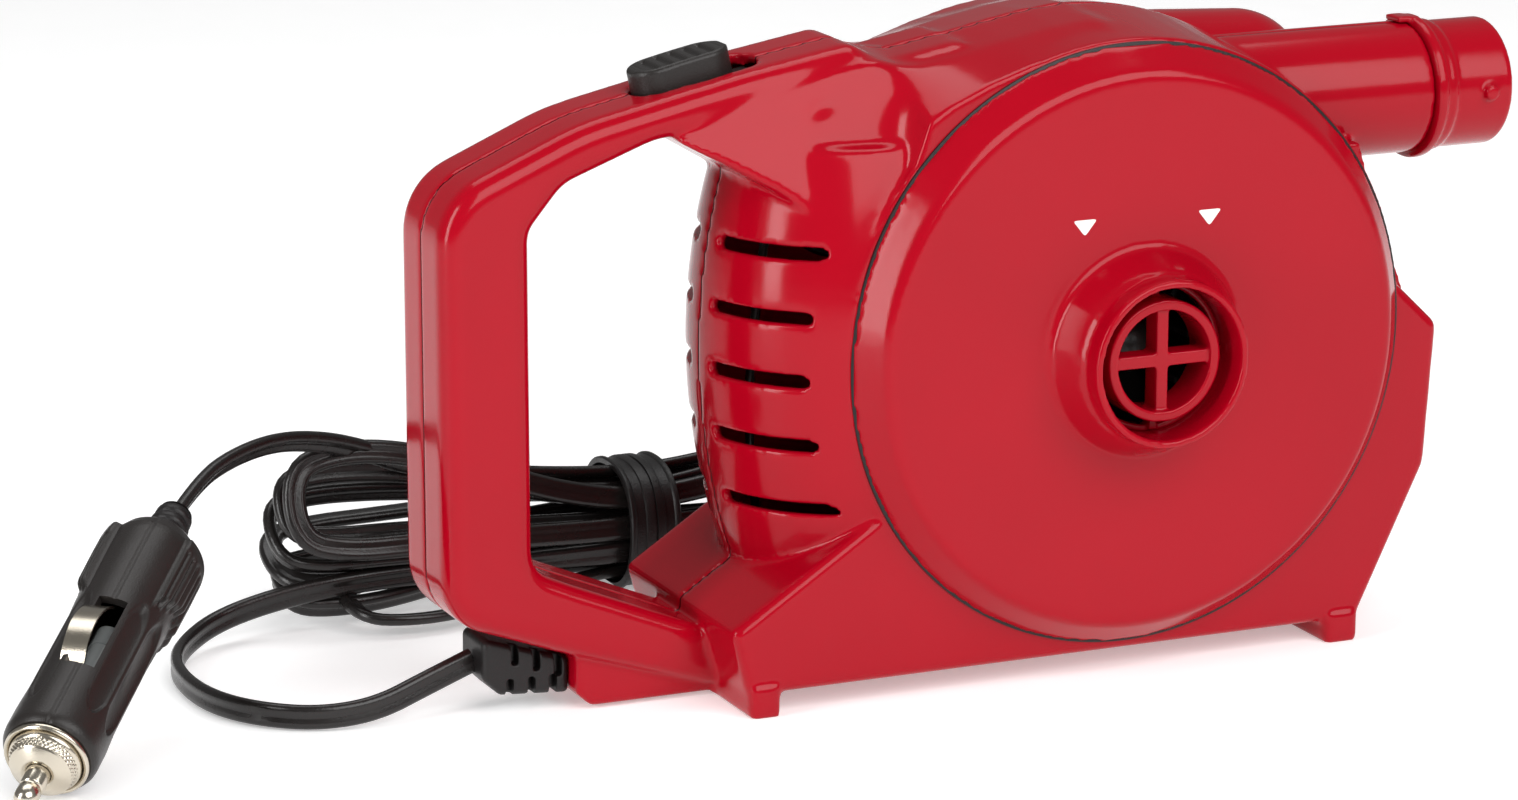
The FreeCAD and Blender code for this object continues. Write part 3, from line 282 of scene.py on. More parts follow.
def applied(obj):
    """Applies an object's modifiers to its mesh."""
    graph = bpy.context.evaluated_depsgraph_get()
    data = bpy.data.meshes.new_from_object(obj.evaluated_get(graph))
    obj.modifiers.clear()
    obj.data = data
    return obj


def clean(obj, weld=0.0, outward=True):
    """Drops loose vertices, joins those closer than weld, and turns the faces outwards."""
    edit = bmesh.new()
    edit.from_mesh(obj.data)
    loose = [v for v in edit.verts if not v.link_faces]
    bmesh.ops.delete(edit, geom=loose, context="VERTS")
    if weld:
        bmesh.ops.remove_doubles(edit, verts=edit.verts, dist=weld)
    if outward:
        bmesh.ops.recalc_face_normals(edit, faces=edit.faces)
    edit.to_mesh(obj.data)
    edit.free()


def sharpen(obj, degrees=35):
    """Marks edges steeper than an angle as sharp, so that the rest shades smoothly."""
    obj.data.set_sharp_from_angle(angle=math.radians(degrees))


def join(name, objects):
    """One object from several, keeping each one's material."""
    joined = bmesh.new()
    materials = []
    for part in objects:
        data = part.data
        offset = len(joined.faces)
        joined.from_mesh(data)
        joined.faces.ensure_lookup_table()
        index = {}
        for i, material in enumerate(data.materials):
            if material not in materials:
                materials.append(material)
            index[i] = materials.index(material)
        for face in joined.faces[offset:]:
            face.material_index = index.get(face.material_index, 0)
        bpy.data.objects.remove(part)
    data = bpy.data.meshes.new(name)
    joined.to_mesh(data)
    joined.free()
    for material in materials:
        data.materials.append(material)
    made = bpy.data.objects.new(name, data)
    bpy.context.collection.objects.link(made)
    return made


def place(obj, body, slot, *nodes):
    """Sets the body a piece rides on and hides the nodes it stands in for; the slot argument is not used."""
    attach(obj, body)
    if nodes:
        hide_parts(*nodes)
    return obj


def lathe(name, profile, matrix, material, segments=72, closed=False):
    """A surface turned round local z from (along, radius) points in millimetres."""
    vertices = []
    faces = []
    rows = len(profile)
    for along, radius in profile:
        for k in range(segments):
            turn = 2 * math.pi * k / segments
            local = Vector((radius * math.cos(turn), radius * math.sin(turn), along))
            vertices.append(matrix @ local * MM)
    last = rows if closed else rows - 1
    for i in range(last):
        for k in range(segments):
            a = i * segments + k
            b = i * segments + (k + 1) % segments
            c = ((i + 1) % rows) * segments + (k + 1) % segments
            d = ((i + 1) % rows) * segments + k
            faces.append((a, b, c, d))
    if not closed:
        if profile[0][1] > 0:
            faces.append(tuple(reversed(range(segments))))
        if profile[-1][1] > 0:
            faces.append(tuple(range((rows - 1) * segments, rows * segments)))
    made = mesh_object(name, vertices, faces, material)
    clean(made, WELD)
    sharpen(made)
    return made


# ------------------------------------------------------------------ lead

WIRE_R = 1.42
WIRE_GAP = 1.36
LEAD_ROUTE = [
    (-119.5, 0.0, 11.3), (-130.5, -0.9, 7.6), (-142.5, -3.0, 3.9), (-155.0, -1.8, 3.0),
    (-165.5, 5.6, 3.1), (-172.0, 17.5, 3.0), (-174.0, 32.0, 3.1), (-172.0, 47.5, 3.2),
    (-165.5, 60.0, 3.6), (-155.0, 69.0, 5.6), (-141.5, 70.0, 8.6), (-126.0, 69.5, 10.6),
    (-108.0, 71.0, 10.6), (-88.0, 72.5, 9.8),
]
TIE_X = -48.0
# Where each run of the hank passes the tie: y, z
LOW_RUNS = [(73.0, 9.4), (72.0, 15.2), (79.0, 15.2), (79.5, 9.4), (86.5, 9.4), (93.0, 9.4), (79.0, 3.6)]
TOP_RUNS = [(74.0, 21.0), (80.0, 21.0), (86.0, 21.0), (92.0, 21.0), (94.0, 15.2), (87.0, 3.7), (83.0, 24.8)]
# Loops at the ends: furthest x, then y and z of the upper and the lower side
LEFT_LOOPS = [
    (-136.5, (71.0, 41.5), (63.5, 20.0)),
    (-136.5, (79.0, 35.0), (70.0, 21.5)),
    (-139.0, (84.0, 28.5), (69.5, 15.0)),
    (-137.0, (92.0, 19.5), (71.0, 10.2)),
    (-136.0, (90.0, 11.5), (71.0, 4.6)),
    (-123.0, (80.0, 8.4), (58.5, 3.4)),
]
RIGHT_LOOPS = [
    (44.0, (70.0, 36.0), (67.0, 12.0)),
    (38.0, (77.0, 35.0), (73.0, 17.0)),
    (45.5, (84.0, 34.0), (80.0, 11.0)),
    (40.0, (91.5, 31.0), (86.0, 8.0)),
    (46.0, (98.0, 22.0), (93.0, 5.0)),
    (33.0, (76.0, 4.0), (99.0, 4.6)),
    (42.0, (87.0, 33.0), (66.0, 4.4)),
]
TAIL_ROUTE = [
    (-72.0, 80.5, 27.5), (-91.0, 78.5, 31.2), (-107.0, 76.0, 35.5), (-118.5, 72.0, 41.0),
    (-130.5, 66.5, 45.6), (-143.0, 60.5, 48.2), (-155.2, 53.5, 47.6), (-165.6, 46.0, 45.0),
    (-174.4, 35.9, 40.6),
]
RUN_STEPS = (0.27, 0.55, 0.82)
# How far short of a loop's end its runs stop
RIGHT_LOOP_REACH = 12
LEFT_LOOP_REACH = 14
# Shares of a loop's width: from its shoulders to its end, and cut from its corners
LOOP_SHOULDER = 0.52
LOOP_CORNER = 0.14
# Part of each wire's round that shows beside the groove, in degrees
WIRE_ARC = 276
WIRE_STEPS = 8
ROUTE_RESOLUTION = 12
LEAST_STEP = 0.0011


def run_points(tie, loop, loop_x):
    """Points along one run, from the tie out to a loop."""
    made = []
    for step in RUN_STEPS:
        ease = smooth_step(0, 1, step)
        made.append((TIE_X + (loop_x - TIE_X) * step,
                     tie[0] + (loop[0] - tie[0]) * ease, tie[1] + (loop[1] - tie[1]) * ease))
    return made


def loop_points(x, first, second, side):
    """Points round the end of a loop, from its first side to its second."""
    across = math.hypot(second[0] - first[0], second[1] - first[1])
    shoulder = x - side * LOOP_SHOULDER * across
    inner = [a + (b - a) * LOOP_CORNER for a, b in zip(first, second)]
    outer = [b + (a - b) * LOOP_CORNER for a, b in zip(first, second)]
    return [(shoulder, *first), (x, *inner), (x, *outer), (shoulder, *second)]


def hank_points():
    """The turns of the hank, from the lead's first run to the tail."""
    points = []
    for i, (low, top) in enumerate(zip(LOW_RUNS, TOP_RUNS)):
        x, upper, lower = RIGHT_LOOPS[i]
        points.append((TIE_X, *low))
        points += run_points(low, lower, x - RIGHT_LOOP_REACH)
        points += loop_points(x, lower, upper, 1)
        points += reversed(run_points(top, upper, x - RIGHT_LOOP_REACH))
        points.append((TIE_X, *top))
        if i < len(LEFT_LOOPS):
            x, upper, lower = LEFT_LOOPS[i]
            points += run_points(top, upper, x + LEFT_LOOP_REACH)
            points += loop_points(x, upper, lower, -1)
            points += reversed(run_points(LOW_RUNS[i + 1], lower, x + LEFT_LOOP_REACH))
    return points


def spline_points(route, resolution):
    """Points read from the route's own smooth NURBS spline."""
    curve = bpy.data.curves.new("route", "CURVE")
    curve.dimensions = "3D"
    curve.resolution_u = resolution
    spline = curve.splines.new("NURBS")
    spline.points.add(len(route) - 1)
    for point, at in zip(spline.points, route):
        point.co = (*(Vector(at) * MM), 1.0)
    spline.order_u = 3
    spline.use_endpoint_u = True
    holder = bpy.data.objects.new("route", curve)
    bpy.context.collection.objects.link(holder)
    graph = bpy.context.evaluated_depsgraph_get()
    data = bpy.data.meshes.new_from_object(holder.evaluated_get(graph))
    path = [v.co.copy() for v in data.vertices]
    bpy.data.objects.remove(holder)
    bpy.data.meshes.remove(data)
    return path


def twin_section():
    """Outline of two wires side by side with a groove each side."""
    outline = []
    for side, middle in ((1, 90), (-1, 270)):
        for k in range(WIRE_STEPS + 1):
            turn = math.radians(middle + WIRE_ARC * (k / WIRE_STEPS - 0.5))
            outline.append((WIRE_R * math.cos(turn), side * WIRE_GAP + WIRE_R * math.sin(turn)))
    return outline


def carried_frames(path, first_normal):
    """A side vector at each point, turned as little as the path allows."""
    normal = first_normal
    frames = []
    for i, point in enumerate(path):
        ahead = path[min(i + 1, len(path) - 1)] - path[max(i - 1, 0)]
        tangent = ahead.normalized()
        normal = (normal - tangent * normal.dot(tangent)).normalized()
        frames.append((point, normal, tangent.cross(normal)))
    return frames


def sweep(name, frames, outline, material):
    """A solid with one outline all along its path."""
    vertices = []
    faces = []
    count = len(outline)
    for point, normal, across in frames:
        vertices += [point + normal * (u * MM) + across * (v * MM) for u, v in outline]
    for i in range(len(frames) - 1):
        for k in range(count):
            a = i * count + k
            b = i * count + (k + 1) % count
            faces.append((a, b, b + count, a + count))
    faces.append(tuple(reversed(range(count))))
    faces.append(tuple(range(len(vertices) - count, len(vertices))))
    made = mesh_object(name, vertices, faces, material)
    sharpen(made, 60)
    return made


def thinned(path, least):
    """The path without points closer together than the least distance."""
    kept = [path[0]]
    for point in path[1:-1]:
        if (point - kept[-1]).length > least:
            kept.append(point)
    return kept + [path[-1]]


cord_route = LEAD_ROUTE + hank_points() + TAIL_ROUTE
cord_path = thinned(spline_points(cord_route, ROUTE_RESOLUTION), LEAST_STEP)
cord = sweep("twin_lead", carried_frames(cord_path, Vector((0, 1, 0))), twin_section(), PVC)
place(cord, "housing", "lead_pvc", "cord_lead", "cord_hank", "cord_tail")


# ------------------------------------------------------------------ casing

SOLID_WELD = 1e-6
SHOULDER_LOW = Vector((-72.0, -29.5, 108.0)) * MM
SHOULDER_HIGH = Vector((40.0, -1.0, 150.0)) * MM
SHOULDER_BLEND = 4.0 * MM


def shoulder_share(point):
    """How much a point of the casing belongs to the softly blended shoulder, 0 to 1."""
    depth = min(min(point[k] - SHOULDER_LOW[k], SHOULDER_HIGH[k] - point[k]) for k in range(3))
    return max(0.0, min(1.0, depth / SHOULDER_BLEND))


def soften_shoulder(obj, rounds=24):
    """Blends the planes over the shoulder into one surface."""
    group = obj.vertex_groups.new(name="shoulder")
    for vertex in obj.data.vertices:
        share = shoulder_share(vertex.co)
        if share > 0:
            group.add([vertex.index], share, "REPLACE")
    blend = obj.modifiers.new("blend", "SMOOTH")
    blend.vertex_group = "shoulder"
    blend.factor = 0.5
    blend.iterations = rounds
    applied(obj)
    obj.vertex_groups.clear()


def moulded(node, material, voxel, rounds):
    """A moulded piece from its solid, with the small edge rounding that a mould leaves."""
    made = bpy.data.objects.new(node + "_moulding", frame["nodes"][node].data.copy())
    bpy.context.collection.objects.link(made)
    clean(made, SOLID_WELD, outward=False)
    grid = made.modifiers.new("grid", "REMESH")
    grid.mode = "VOXEL"
    grid.voxel_size = voxel * MM
    soften = made.modifiers.new("soften", "SMOOTH")
    soften.factor = 0.5
    soften.iterations = rounds
    applied(made)
    dress(made, material)
    for face in made.data.polygons:
        face.use_smooth = True
    return made


# Node, material, slot, fineness in millimetres and rounds of softening
MOULDINGS = [
    ("front_shell", SEAMED_RED, "casing_red", 0.75, 5),
    ("rear_shell", SEAMED_RED, "casing_red", 0.75, 5),
    ("volute_cover", RED, "casing_red", 0.75, 5),
    ("inflate_nozzle", RED, "casing_red", 0.5, 3),
    ("port_grille", RED, "casing_red", 0.35, 2),
    ("strain_relief", RUBBER, "lead_pvc", 0.3, 3),
]
for moulding_node, moulding_material, moulding_slot, fineness, softening in MOULDINGS:
    moulding = moulded(moulding_node, moulding_material, fineness, softening)
    if moulding_node == "front_shell":
        soften_shoulder(moulding)
    place(moulding, "housing", moulding_slot, moulding_node)


# Painted marks on the cover: half width, height, centre of the top edge
MARK_HALF = 2.9
MARK_HEIGHT = 3.6
MARK_TOPS = [(8.1, 105.1), (38.5, 104.9)]
MARK_LIFT = 0.12
MARK_CORNER = 0.14


def marks():
    """Plain triangles that point down at the port."""
    made = []
    for x, z in MARK_TOPS:
        outline = []
        corners = [(x - MARK_HALF, z), (x + MARK_HALF, z), (x, z - MARK_HEIGHT)]
        for i, corner in enumerate(corners):
            before = Vector(corners[i - 1]) - Vector(corner)
            after = Vector(corners[(i + 1) % 3]) - Vector(corner)
            start = Vector(corner) + before * MARK_CORNER
            end = Vector(corner) + after * MARK_CORNER
            middle = (start + end) / 4 + Vector(corner) / 2
            outline += [start, middle, end]
        front = [Vector((u, COVER_FACE_Y - MARK_LIFT, v)) * MM for u, v in outline]
        back = [Vector((u, COVER_FACE_Y + MARK_LIFT, v)) * MM for u, v in outline]
        count = len(outline)
        sides = [(k, (k + 1) % count, (k + 1) % count + count, k + count) for k in range(count)]
        caps = [tuple(reversed(range(count))), tuple(range(count, 2 * count))]
        made.append(mesh_object("mark", front + back, sides + caps, MARK_WHITE, smooth=False))
    return join("cover_marks", made)


place(marks(), "housing", "blower_plastic")


# ------------------------------------------------------------------ lofted pieces

def grid_mesh(name, rows, material, closed=True, caps=True):
    """A surface through rows of points, in metres."""
    count = len(rows[0])
    vertices = [point for row in rows for point in row]
    faces = []
    for i in range(len(rows) - 1):
        for k in range(count if closed else count - 1):
            a = i * count + k
            b = i * count + (k + 1) % count
            faces.append((a, b, b + count, a + count))
    if caps:
        faces.append(tuple(reversed(range(count))))
        faces.append(tuple(range(len(vertices) - count, len(vertices))))
    made = mesh_object(name, vertices, faces, material)
    clean(made)
    return made


# ------------------------------------------------------------------ 12 volt plug

PLUG_NOSE = Vector((-221.7, -23.5, 8.9))
PLUG_AXIS = Vector((0.575, 0.722, 0.386)).normalized()
PLUG_ROLL = math.radians(12)
PLUG_LENGTH = 74.0


def plug_matrix():
    """Local z from the nose ring towards the tail; local x up, rolled a little to the front."""
    up = (Vector((0, 0, 1)) - PLUG_AXIS * PLUG_AXIS.z).normalized()
    across = PLUG_AXIS.cross(up)
    turned_up = up * math.cos(PLUG_ROLL) + across * math.sin(PLUG_ROLL)
    turned_across = across * math.cos(PLUG_ROLL) - up * math.sin(PLUG_ROLL)
    columns = Matrix((turned_up, turned_across, PLUG_AXIS)).transposed().to_4x4()
    return Matrix.Translation(PLUG_NOSE) @ columns


PLUG = plug_matrix()
BODY_PROFILE = [
    (1.2, 9.4), (1.8, 9.9), (2.8, 10.3), (4.0, 10.4), (45.0, 10.2), (60.0, 10.4), (66.0, 10.35),
    (67.6, 10.1), (70.4, 8.9), (72.6, 7.2), (73.6, 6.0), (74.0, 5.0),
]
FLUTES = ((24.0, 53.0), (58.0, 88.0))
FLUTE_DEPTH = 1.0
FLUTE_START = 8.6
FLUTE_END = 45.0
FLUTE_BOW = 5.0
FLUTE_ENTRY = 1.2
FLUTE_RUN_OUT = 4.0
FLUTE_FLATNESS = 0.6
PAD_HALF_ANGLE = 44.0
PAD_OUT = 1.55
PAD_FRONT = 50.5
PAD_REAR = 68.0
PAD_SLANT = 0.14
PAD_RISE = 3.5
RIB_LEAD = 1.2
RIB_STOP = 4.5
RIB_PITCH = 11.0
RIB_DEPTH = 0.75
SEAM_WIDTH = 1.6
SEAM_DEPTH = 0.22
WINDOW_HALF = 3.15
WINDOW_LOW = 19.7
WINDOW_HIGH = 41.2
SHELL_WALL = 1.9
LEAST_WALL = 0.8
BODY_R = 10.4
SHELL_STEPS = 120
NOSE_STATIONS = [1.2, 1.5, 1.8, 2.3, 2.8, 3.4, 4.0]
# Evenly spaced stations after those: where each stretch starts, its step and its count
STATION_STRETCHES = [(4.0, 0.45, 89), (44.4, 0.5, 42), (66.1, 0.25, 29)]


def flute_depth(angle, along):
    """How far the long flutes beside the window sink into the body."""
    depth = 0.0
    for low, high in FLUTES:
        share = (angle - low) / (high - low)
        if 0 < share < 1:
            reach = FLUTE_BOW * (2 * share - 1) ** 2
            ends = smooth_step(FLUTE_START + reach, FLUTE_START + reach + FLUTE_ENTRY, along)
            ends *= 1 - smooth_step(FLUTE_END - reach - FLUTE_RUN_OUT, FLUTE_END - reach, along)
            depth += FLUTE_DEPTH * ends * math.sin(math.pi * share) ** FLUTE_FLATNESS
    return depth


def pad_height(angle, along):
    """The side grip's height: ribs along the plug, a square rear end and a sloping front."""
    from_side = abs(angle - 90)
    if from_side > PAD_HALF_ANGLE + 3:
        return 0.0
    rib = 0.5 + 0.5 * math.cos(2 * math.pi * from_side / RIB_PITCH)
    start = PAD_FRONT - PAD_SLANT * from_side + RIB_LEAD * (1 - rib)
    rise = smooth_step(start, start + PAD_RISE, along) ** 0.7
    fall = 1 - smooth_step(PAD_REAR - 0.5, PAD_REAR, along)
    edge = 1 - smooth_step(PAD_HALF_ANGLE - 3, PAD_HALF_ANGLE + 2, from_side)
    ribbed = smooth_step(PAD_HALF_ANGLE - 2, PAD_HALF_ANGLE - 6, from_side)
    ribbed *= 1 - smooth_step(PAD_REAR - RIB_STOP, PAD_REAR - RIB_STOP + 1, along)
    return rise * fall * edge * (PAD_OUT - RIB_DEPTH * (1 - rib) ** 2 * ribbed)


def plug_radius(degrees, along):
    """The body's radius, with its flutes, side grips and the groove between its halves."""
    angle = abs((degrees + 180) % 360 - 180)
    mirrored = min(angle, 180 - angle)
    radius = between(BODY_PROFILE, along)
    radius -= flute_depth(mirrored, along)
    radius += pad_height(angle, along)
    seam = mirrored * math.pi / 180 * radius
    if seam < SEAM_WIDTH / 2:
        radius -= SEAM_DEPTH * (1 - smooth_step(0.1, SEAM_WIDTH / 2, seam))
    return radius


def plug_rows():
    """Stations along the plug, closer together where its shape changes."""
    made = list(NOSE_STATIONS)
    for start, step, count in STATION_STRETCHES:
        made += [start + step * k for k in range(1, count + 1)]
    return made + [PLUG_LENGTH]


# Steps to the four cells beside a cell, each with the two corners that they share
CELL_SIDES = [((-1, 0), (0, 1)), ((0, 1), (1, 2)), ((1, 0), (2, 3)), ((0, -1), (3, 0))]


def plug_shell(side, name):
    """One half of the plug's body, with its half of each contact window."""
    stations = plug_rows()
    vertices = []
    faces = []
    for inner in (False, True):
        for along in stations:
            for k in range(SHELL_STEPS + 1):
                degrees = side * 180 * k / SHELL_STEPS
                radius = plug_radius(degrees, along)
                if inner:
                    radius = min(radius - LEAST_WALL, between(BODY_PROFILE, along) - SHELL_WALL)
                turn = math.radians(degrees)
                vertices.append((radius * math.cos(turn), radius * math.sin(turn), along))
    columns = SHELL_STEPS + 1
    offset = len(stations) * columns

    def is_open(row, k):
        """Whether a facet lies in a contact window, above or below."""
        along = (stations[row] + stations[row + 1]) / 2
        turn = math.pi * (k + 0.5) / SHELL_STEPS
        beside = BODY_R * min(turn, math.pi - turn)
        return WINDOW_LOW < along < WINDOW_HIGH and beside < WINDOW_HALF

    cells = [(i, k) for i in range(len(stations) - 1) for k in range(SHELL_STEPS)]
    closed_cells = {cell for cell in cells if not is_open(*cell)}
    for i, k in sorted(closed_cells):
        a = i * columns + k
        corners = (a, a + 1, a + 1 + columns, a + columns)
        faces.append(corners)
        faces.append(tuple(offset + c for c in reversed(corners)))
        for (di, dk), (p, q) in CELL_SIDES:
            if (i + di, k + dk) not in closed_cells:
                faces.append((corners[q], corners[p], offset + corners[p], offset + corners[q]))
    made = mesh_object(name, [PLUG @ Vector(v) * MM for v in vertices], faces, BLACK)
    clean(made)
    sharpen(made, 40)
    return made


place(plug_shell(1, "plug_half_right"), "housing", "black_plastic", "plug_shell_left")
place(plug_shell(-1, "plug_half_left"), "housing", "black_plastic", "plug_shell_right")

KNURL_DEPTH = 0.22
KNURL_COUNT = 44
KNURL_LOW = -3.3
KNURL_HIGH = -1.1
KNURL_PITCH = 1.15
KNURL_ROWS = 12
NOSE_SEGMENTS = 264
NOSE_PROFILE = [
    (1.2, 7.85), (-0.6, 7.85), (-0.9, 7.7), (-1.1, 7.55), (-3.3, 6.75), (-3.5, 6.5), (-3.7, 6.3),
    (-4.5, 4.2), (-4.7, 3.9), (-4.7, 3.4), (-4.3, 2.75), (-3.2, 2.75), (-2.4, 2.9), (-2.4, 5.4), (1.2, 5.4),
]


def nose_cap():
    """Turned cap with a diamond knurl round its cone."""
    rows = []
    profile = []
    for (a, ra), (b, rb) in zip(NOSE_PROFILE, NOSE_PROFILE[1:]):
        parts = KNURL_ROWS if (a, b) == (KNURL_HIGH, KNURL_LOW) else 1
        profile += [(a + (b - a) * j / parts, ra + (rb - ra) * j / parts) for j in range(parts)]
    profile.append(NOSE_PROFILE[-1])
    for along, radius in profile:
        row = []
        for k in range(NOSE_SEGMENTS):
            turn = 2 * math.pi * k / NOSE_SEGMENTS
            cut = 0.0
            if KNURL_LOW < along < KNURL_HIGH and radius > 6:
                phase = (along - KNURL_LOW) * math.pi * 2 / KNURL_PITCH
                first = abs(math.sin((KNURL_COUNT * turn + phase) / 2))
                second = abs(math.sin((KNURL_COUNT * turn - phase) / 2))
                cut = KNURL_DEPTH * (1 - min(first, second) ** 0.7) * 1.6
            local = Vector(((radius - cut) * math.cos(turn), (radius - cut) * math.sin(turn), along))
            row.append(PLUG @ local * MM)
        rows.append(row)
    rows.append(rows[0])
    made = grid_mesh("plug_nose", rows, NICKEL, caps=False)
    clean(made, WELD)
    sharpen(made, 50)
    return made


place(nose_cap(), "housing", "nickel", "plug_nose_cap")
FLANGE_PROFILE = [
    (1.15, 8.0), (1.15, 9.0), (0.9, 9.15), (0.5, 9.2), (0.1, 9.15), (-0.15, 9.0), (-0.3, 8.75), (-0.2, 8.4),
    (0.1, 8.1), (0.5, 8.0),
]
place(lathe("plug_flange", FLANGE_PROFILE, PLUG, NICKEL, closed=True), "housing", "nickel", "plug_ring")
TIP_PROFILE = [
    (1.2, 0.0), (1.2, 4.6), (-1.5, 4.6), (-1.6, 4.5), (-1.6, 2.6), (-8.6, 2.6), (-8.8, 2.5), (-9.0, 2.25),
    (-9.4, 2.25), (-9.6, 2.5), (-9.8, 2.6), (-11.9, 2.6), (-12.6, 2.45), (-13.3, 2.1), (-13.8, 1.6),
    (-14.0, 1.15), (-13.8, 0.95), (-12.4, 0.9), (-12.4, 0.0),
]
place(lathe("plug_centre_pin", TIP_PROFILE, PLUG, NICKEL, segments=64), "plug_plunger", "nickel", "plug_tip")
RELIEF_RINGS = 3
RELIEF_PITCH = 3.0
RELIEF_R = 4.75
RELIEF_TAPER = 0.3
# One ring of the sleeve: how far along it starts from, and how far in from its radius
RING_PROFILE = [(0.1, -0.1), (0.4, 0.0), (1.6, -0.05), (1.9, -0.25), (2.0, -0.8), (2.7, -0.8)]


def relief_profile():
    """The sleeve where the lead leaves the plug: rings that grow smaller towards the lead."""
    profile = [(68.0, 3.1), (73.8, 3.1), (73.9, 4.6)]
    for ring in range(RELIEF_RINGS):
        start = PLUG_LENGTH + RELIEF_PITCH * ring
        radius = RELIEF_R - RELIEF_TAPER * ring
        profile += [(start + along, radius + out) for along, out in RING_PROFILE]
    return profile + [(PLUG_LENGTH + 8.8, 3.7), (PLUG_LENGTH + 9.0, 3.2)]


place(lathe("plug_sleeve", relief_profile(), PLUG, RUBBER), "housing", "lead_pvc", "plug_relief")


# ------------------------------------------------------------------ switch button

SWITCH_AT = Vector((-70.0, 0.0, 135.7))
SWITCH_SLOPE = math.radians(12.4)
BUTTON_HALF = 11.5
BUTTON_HALF_WIDTH = 6.0
BUTTON_TOP = 4.9
BUTTON_BASE = -2.4
BUTTON_EDGE = 1.2
GROOVE_DEPTH = 0.7
RIDGE_PITCH = 3.3
RIDGE_SPAN = 9.6
BUTTON_CROWN = 0.25
BUTTON_STEPS = 150
BUTTON_SIDES = 40


def switch_button():
    """Low capsule-shaped button with shallow rounded ridges across its top."""
    seat = Matrix.Translation(SWITCH_AT) @ Matrix.Rotation(-SWITCH_SLOPE, 4, "Y")
    rows = []
    for i in range(BUTTON_STEPS + 1):
        x = BUTTON_HALF * math.sin(math.pi * (i / BUTTON_STEPS - 0.5)) * 0.999
        past_end = max(0.0, abs(x) - (BUTTON_HALF - BUTTON_HALF_WIDTH))
        half = math.sqrt(max(BUTTON_HALF_WIDTH ** 2 - past_end ** 2, 0.02))
        row = []
        for k in range(BUTTON_SIDES):
            share = k / (BUTTON_SIDES - 1) * 2 - 1
            y = half * math.sin(share * math.pi / 2)
            inset = min(half - abs(y), BUTTON_EDGE) if half > BUTTON_EDGE else 0.0
            inset = min(inset, BUTTON_HALF - abs(x), BUTTON_EDGE)
            drop = BUTTON_EDGE - math.sqrt(max(0.0, BUTTON_EDGE ** 2 - (BUTTON_EDGE - inset) ** 2))
            groove = (0.5 + 0.5 * math.cos(2 * math.pi * x / RIDGE_PITCH)) ** 2
            across = smooth_step(0.9, 2.0, half - abs(y))
            across *= 1 - smooth_step(RIDGE_SPAN - 1.2, RIDGE_SPAN, abs(x))
            crown = BUTTON_CROWN * (x / BUTTON_HALF) ** 2
            height = BUTTON_TOP - drop - crown - GROOVE_DEPTH * across * groove
            row.append((x, y, height))
        row.append((x, half, BUTTON_BASE))
        row.append((x, -half, BUTTON_BASE))
        rows.append([seat @ Vector(v) * MM for v in row])
    made = grid_mesh("switch_button_ridged", rows, BLACK)
    sharpen(made, 50)
    return made


place(switch_button(), "switch_slider", "black_plastic", "switch_button")


# ------------------------------------------------------------------ hank tie and cover gasket

TIE_AT = (-48.0, 83.0, 13.9)
TIE_HALF = (15.3, 13.7)
TIE_PROFILE = [
    (-6.3, 0.1), (-6.3, 1.2), (-6.0, 1.55), (-5.4, 1.6), (-4.9, 1.3), (-4.7, 1.05), (-2.5, 1.0), (-2.3, 1.35),
    (-1.8, 1.5), (-0.35, 1.5), (-0.2, 1.1), (0.2, 1.1), (0.35, 1.5), (1.8, 1.5), (2.3, 1.35), (2.5, 1.0),
    (4.7, 1.05), (4.9, 1.3), (5.4, 1.6), (6.0, 1.55), (6.3, 1.2), (6.3, 0.1),
]
TIE_ROUNDNESS = 0.85
TIE_SWAY = 0.5
TIE_STEPS = 120
FLOOR_GAP = 0.02


def tie_band():
    """Moulded band round the hank, with raised rims and a doubled middle."""
    rows = []
    for k in range(TIE_STEPS):
        turn = 2 * math.pi * k / TIE_STEPS
        row = []
        for x, out in TIE_PROFILE:
            y = (TIE_HALF[0] + out) * math.copysign(abs(math.cos(turn)) ** TIE_ROUNDNESS, math.cos(turn))
            z = (TIE_HALF[1] + out) * math.copysign(abs(math.sin(turn)) ** TIE_ROUNDNESS, math.sin(turn))
            sway = TIE_SWAY * math.sin(turn + 0.6)
            height = max(TIE_AT[2] + z, FLOOR_GAP + 0.1 * out)
            row.append(Vector((TIE_AT[0] + x + sway, TIE_AT[1] + y, height)) * MM)
        rows.append(row)
    rows.append(rows[0])
    made = grid_mesh("hank_band", rows, RUBBER, caps=False)
    clean(made, WELD)
    sharpen(made, 40)
    return made


place(tie_band(), "housing", "lead_pvc", "hank_tie")
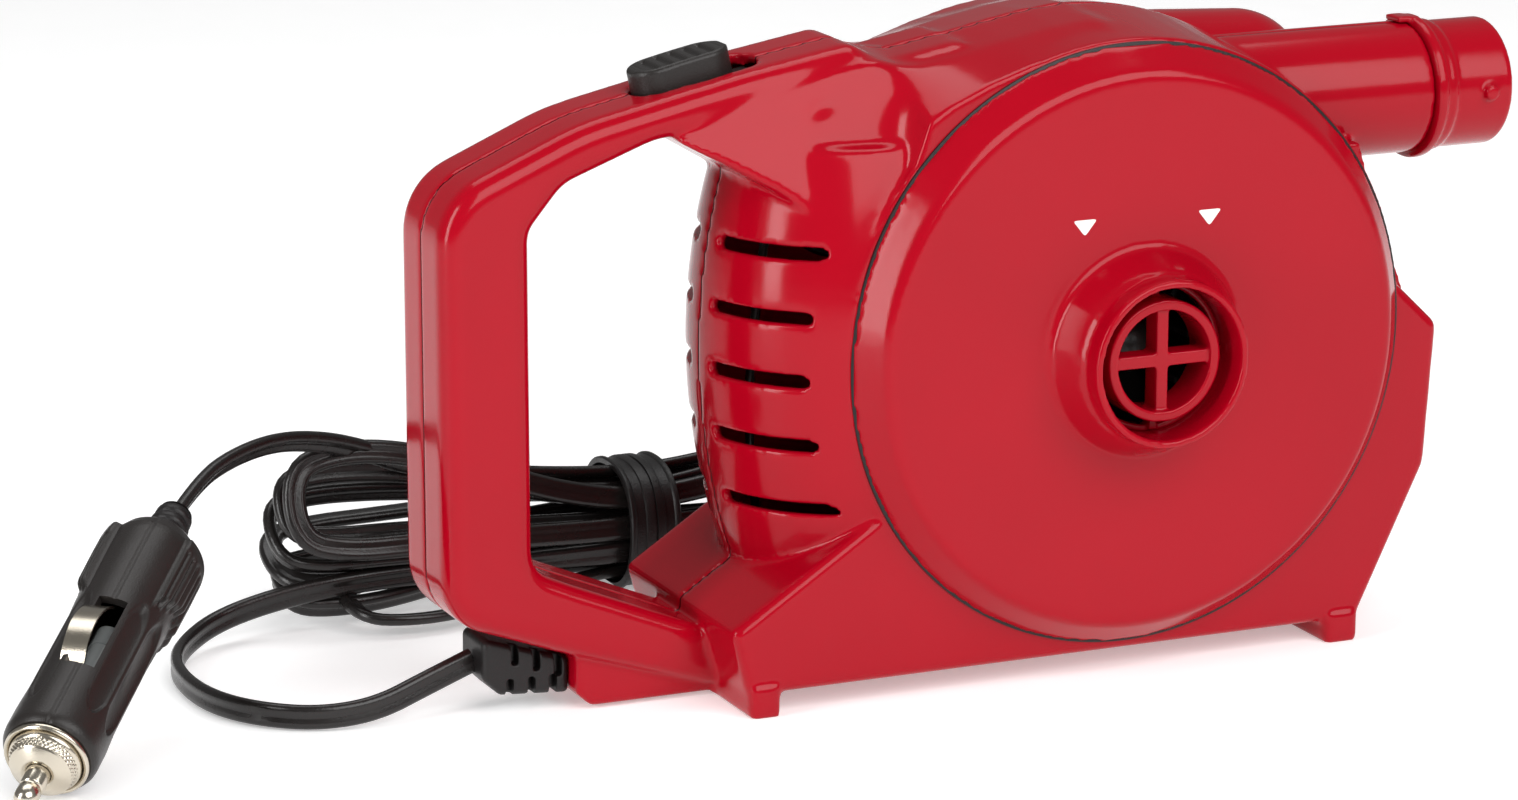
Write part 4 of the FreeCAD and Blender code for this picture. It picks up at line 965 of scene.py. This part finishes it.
# Local z out of the port
PORT_FRAME = Matrix.Translation((AXIS_X, 0, AXIS_Z)) @ Matrix.Rotation(math.radians(90), 4, "X")
GASKET_PROFILE = [(30.7, 60.4), (30.7, 67.0), (30.9, 67.3), (31.5, 67.3), (31.7, 67.0), (31.7, 60.4)]
gasket = lathe("cover_gasket", GASKET_PROFILE, PORT_FRAME, RUBBER, segments=180, closed=True)
place(gasket, "housing", "seal_rubber", "cover_seal")


# ------------------------------------------------------------------ light and floor

WORLD_STRENGTH = 0.22
FLOOR_HALF = 6.0
FLOOR_GLOW = 0.36


def area_light(name, location, target, size, power):
    """A soft box that faces a target: places and size in metres, power in watts."""
    data = bpy.data.lights.new(name, "AREA")
    data.shape = "RECTANGLE"
    data.size = size[0]
    data.size_y = size[1]
    data.energy = power
    lamp = bpy.data.objects.new(name, data)
    bpy.context.collection.objects.link(lamp)
    lamp.location = location
    lamp.rotation_euler = (Vector(target) - Vector(location)).to_track_quat("-Z", "Y").to_euler()


def add_studio():
    """A pale floor under three soft boxes and an even white surround."""
    world = bpy.data.worlds.new("studio")
    world.use_nodes = True
    background = world.node_tree.nodes["Background"]
    background.inputs["Color"].default_value = (1, 1, 1, 1)
    background.inputs["Strength"].default_value = WORLD_STRENGTH
    bpy.context.scene.world = world
    area_light("left_box", (-1.3, -0.30, 0.50), (-0.05, 0, 0.07), (0.35, 1.0), 10)
    area_light("top_box", (0.1, 0.5, 1.5), (0, 0.1, 0.05), (1.4, 0.8), 9)
    area_light("front_box", (0.25, -1.15, 0.95), (0, 0, 0.08), (1.5, 1.1), 22)
    pale = surface("pale_floor", (0.90, 0.90, 0.90), (0.87, 0.87, 0.87), 0.6, grain=50, bump=0.0)
    shader = pale.node_tree.nodes["Principled BSDF"]
    socket(shader, "Emission Color", (1, 1, 1, 1))
    socket(shader, "Emission Strength", FLOOR_GLOW)
    corners = [(x * FLOOR_HALF, y * FLOOR_HALF, 0) for x, y in ((-1, -1), (1, -1), (1, 1), (-1, 1))]
    floor = mesh_object("floor", corners, [(0, 1, 2, 3)], pale)


add_studio()
bpy.context.scene.view_settings.view_transform = "Standard"
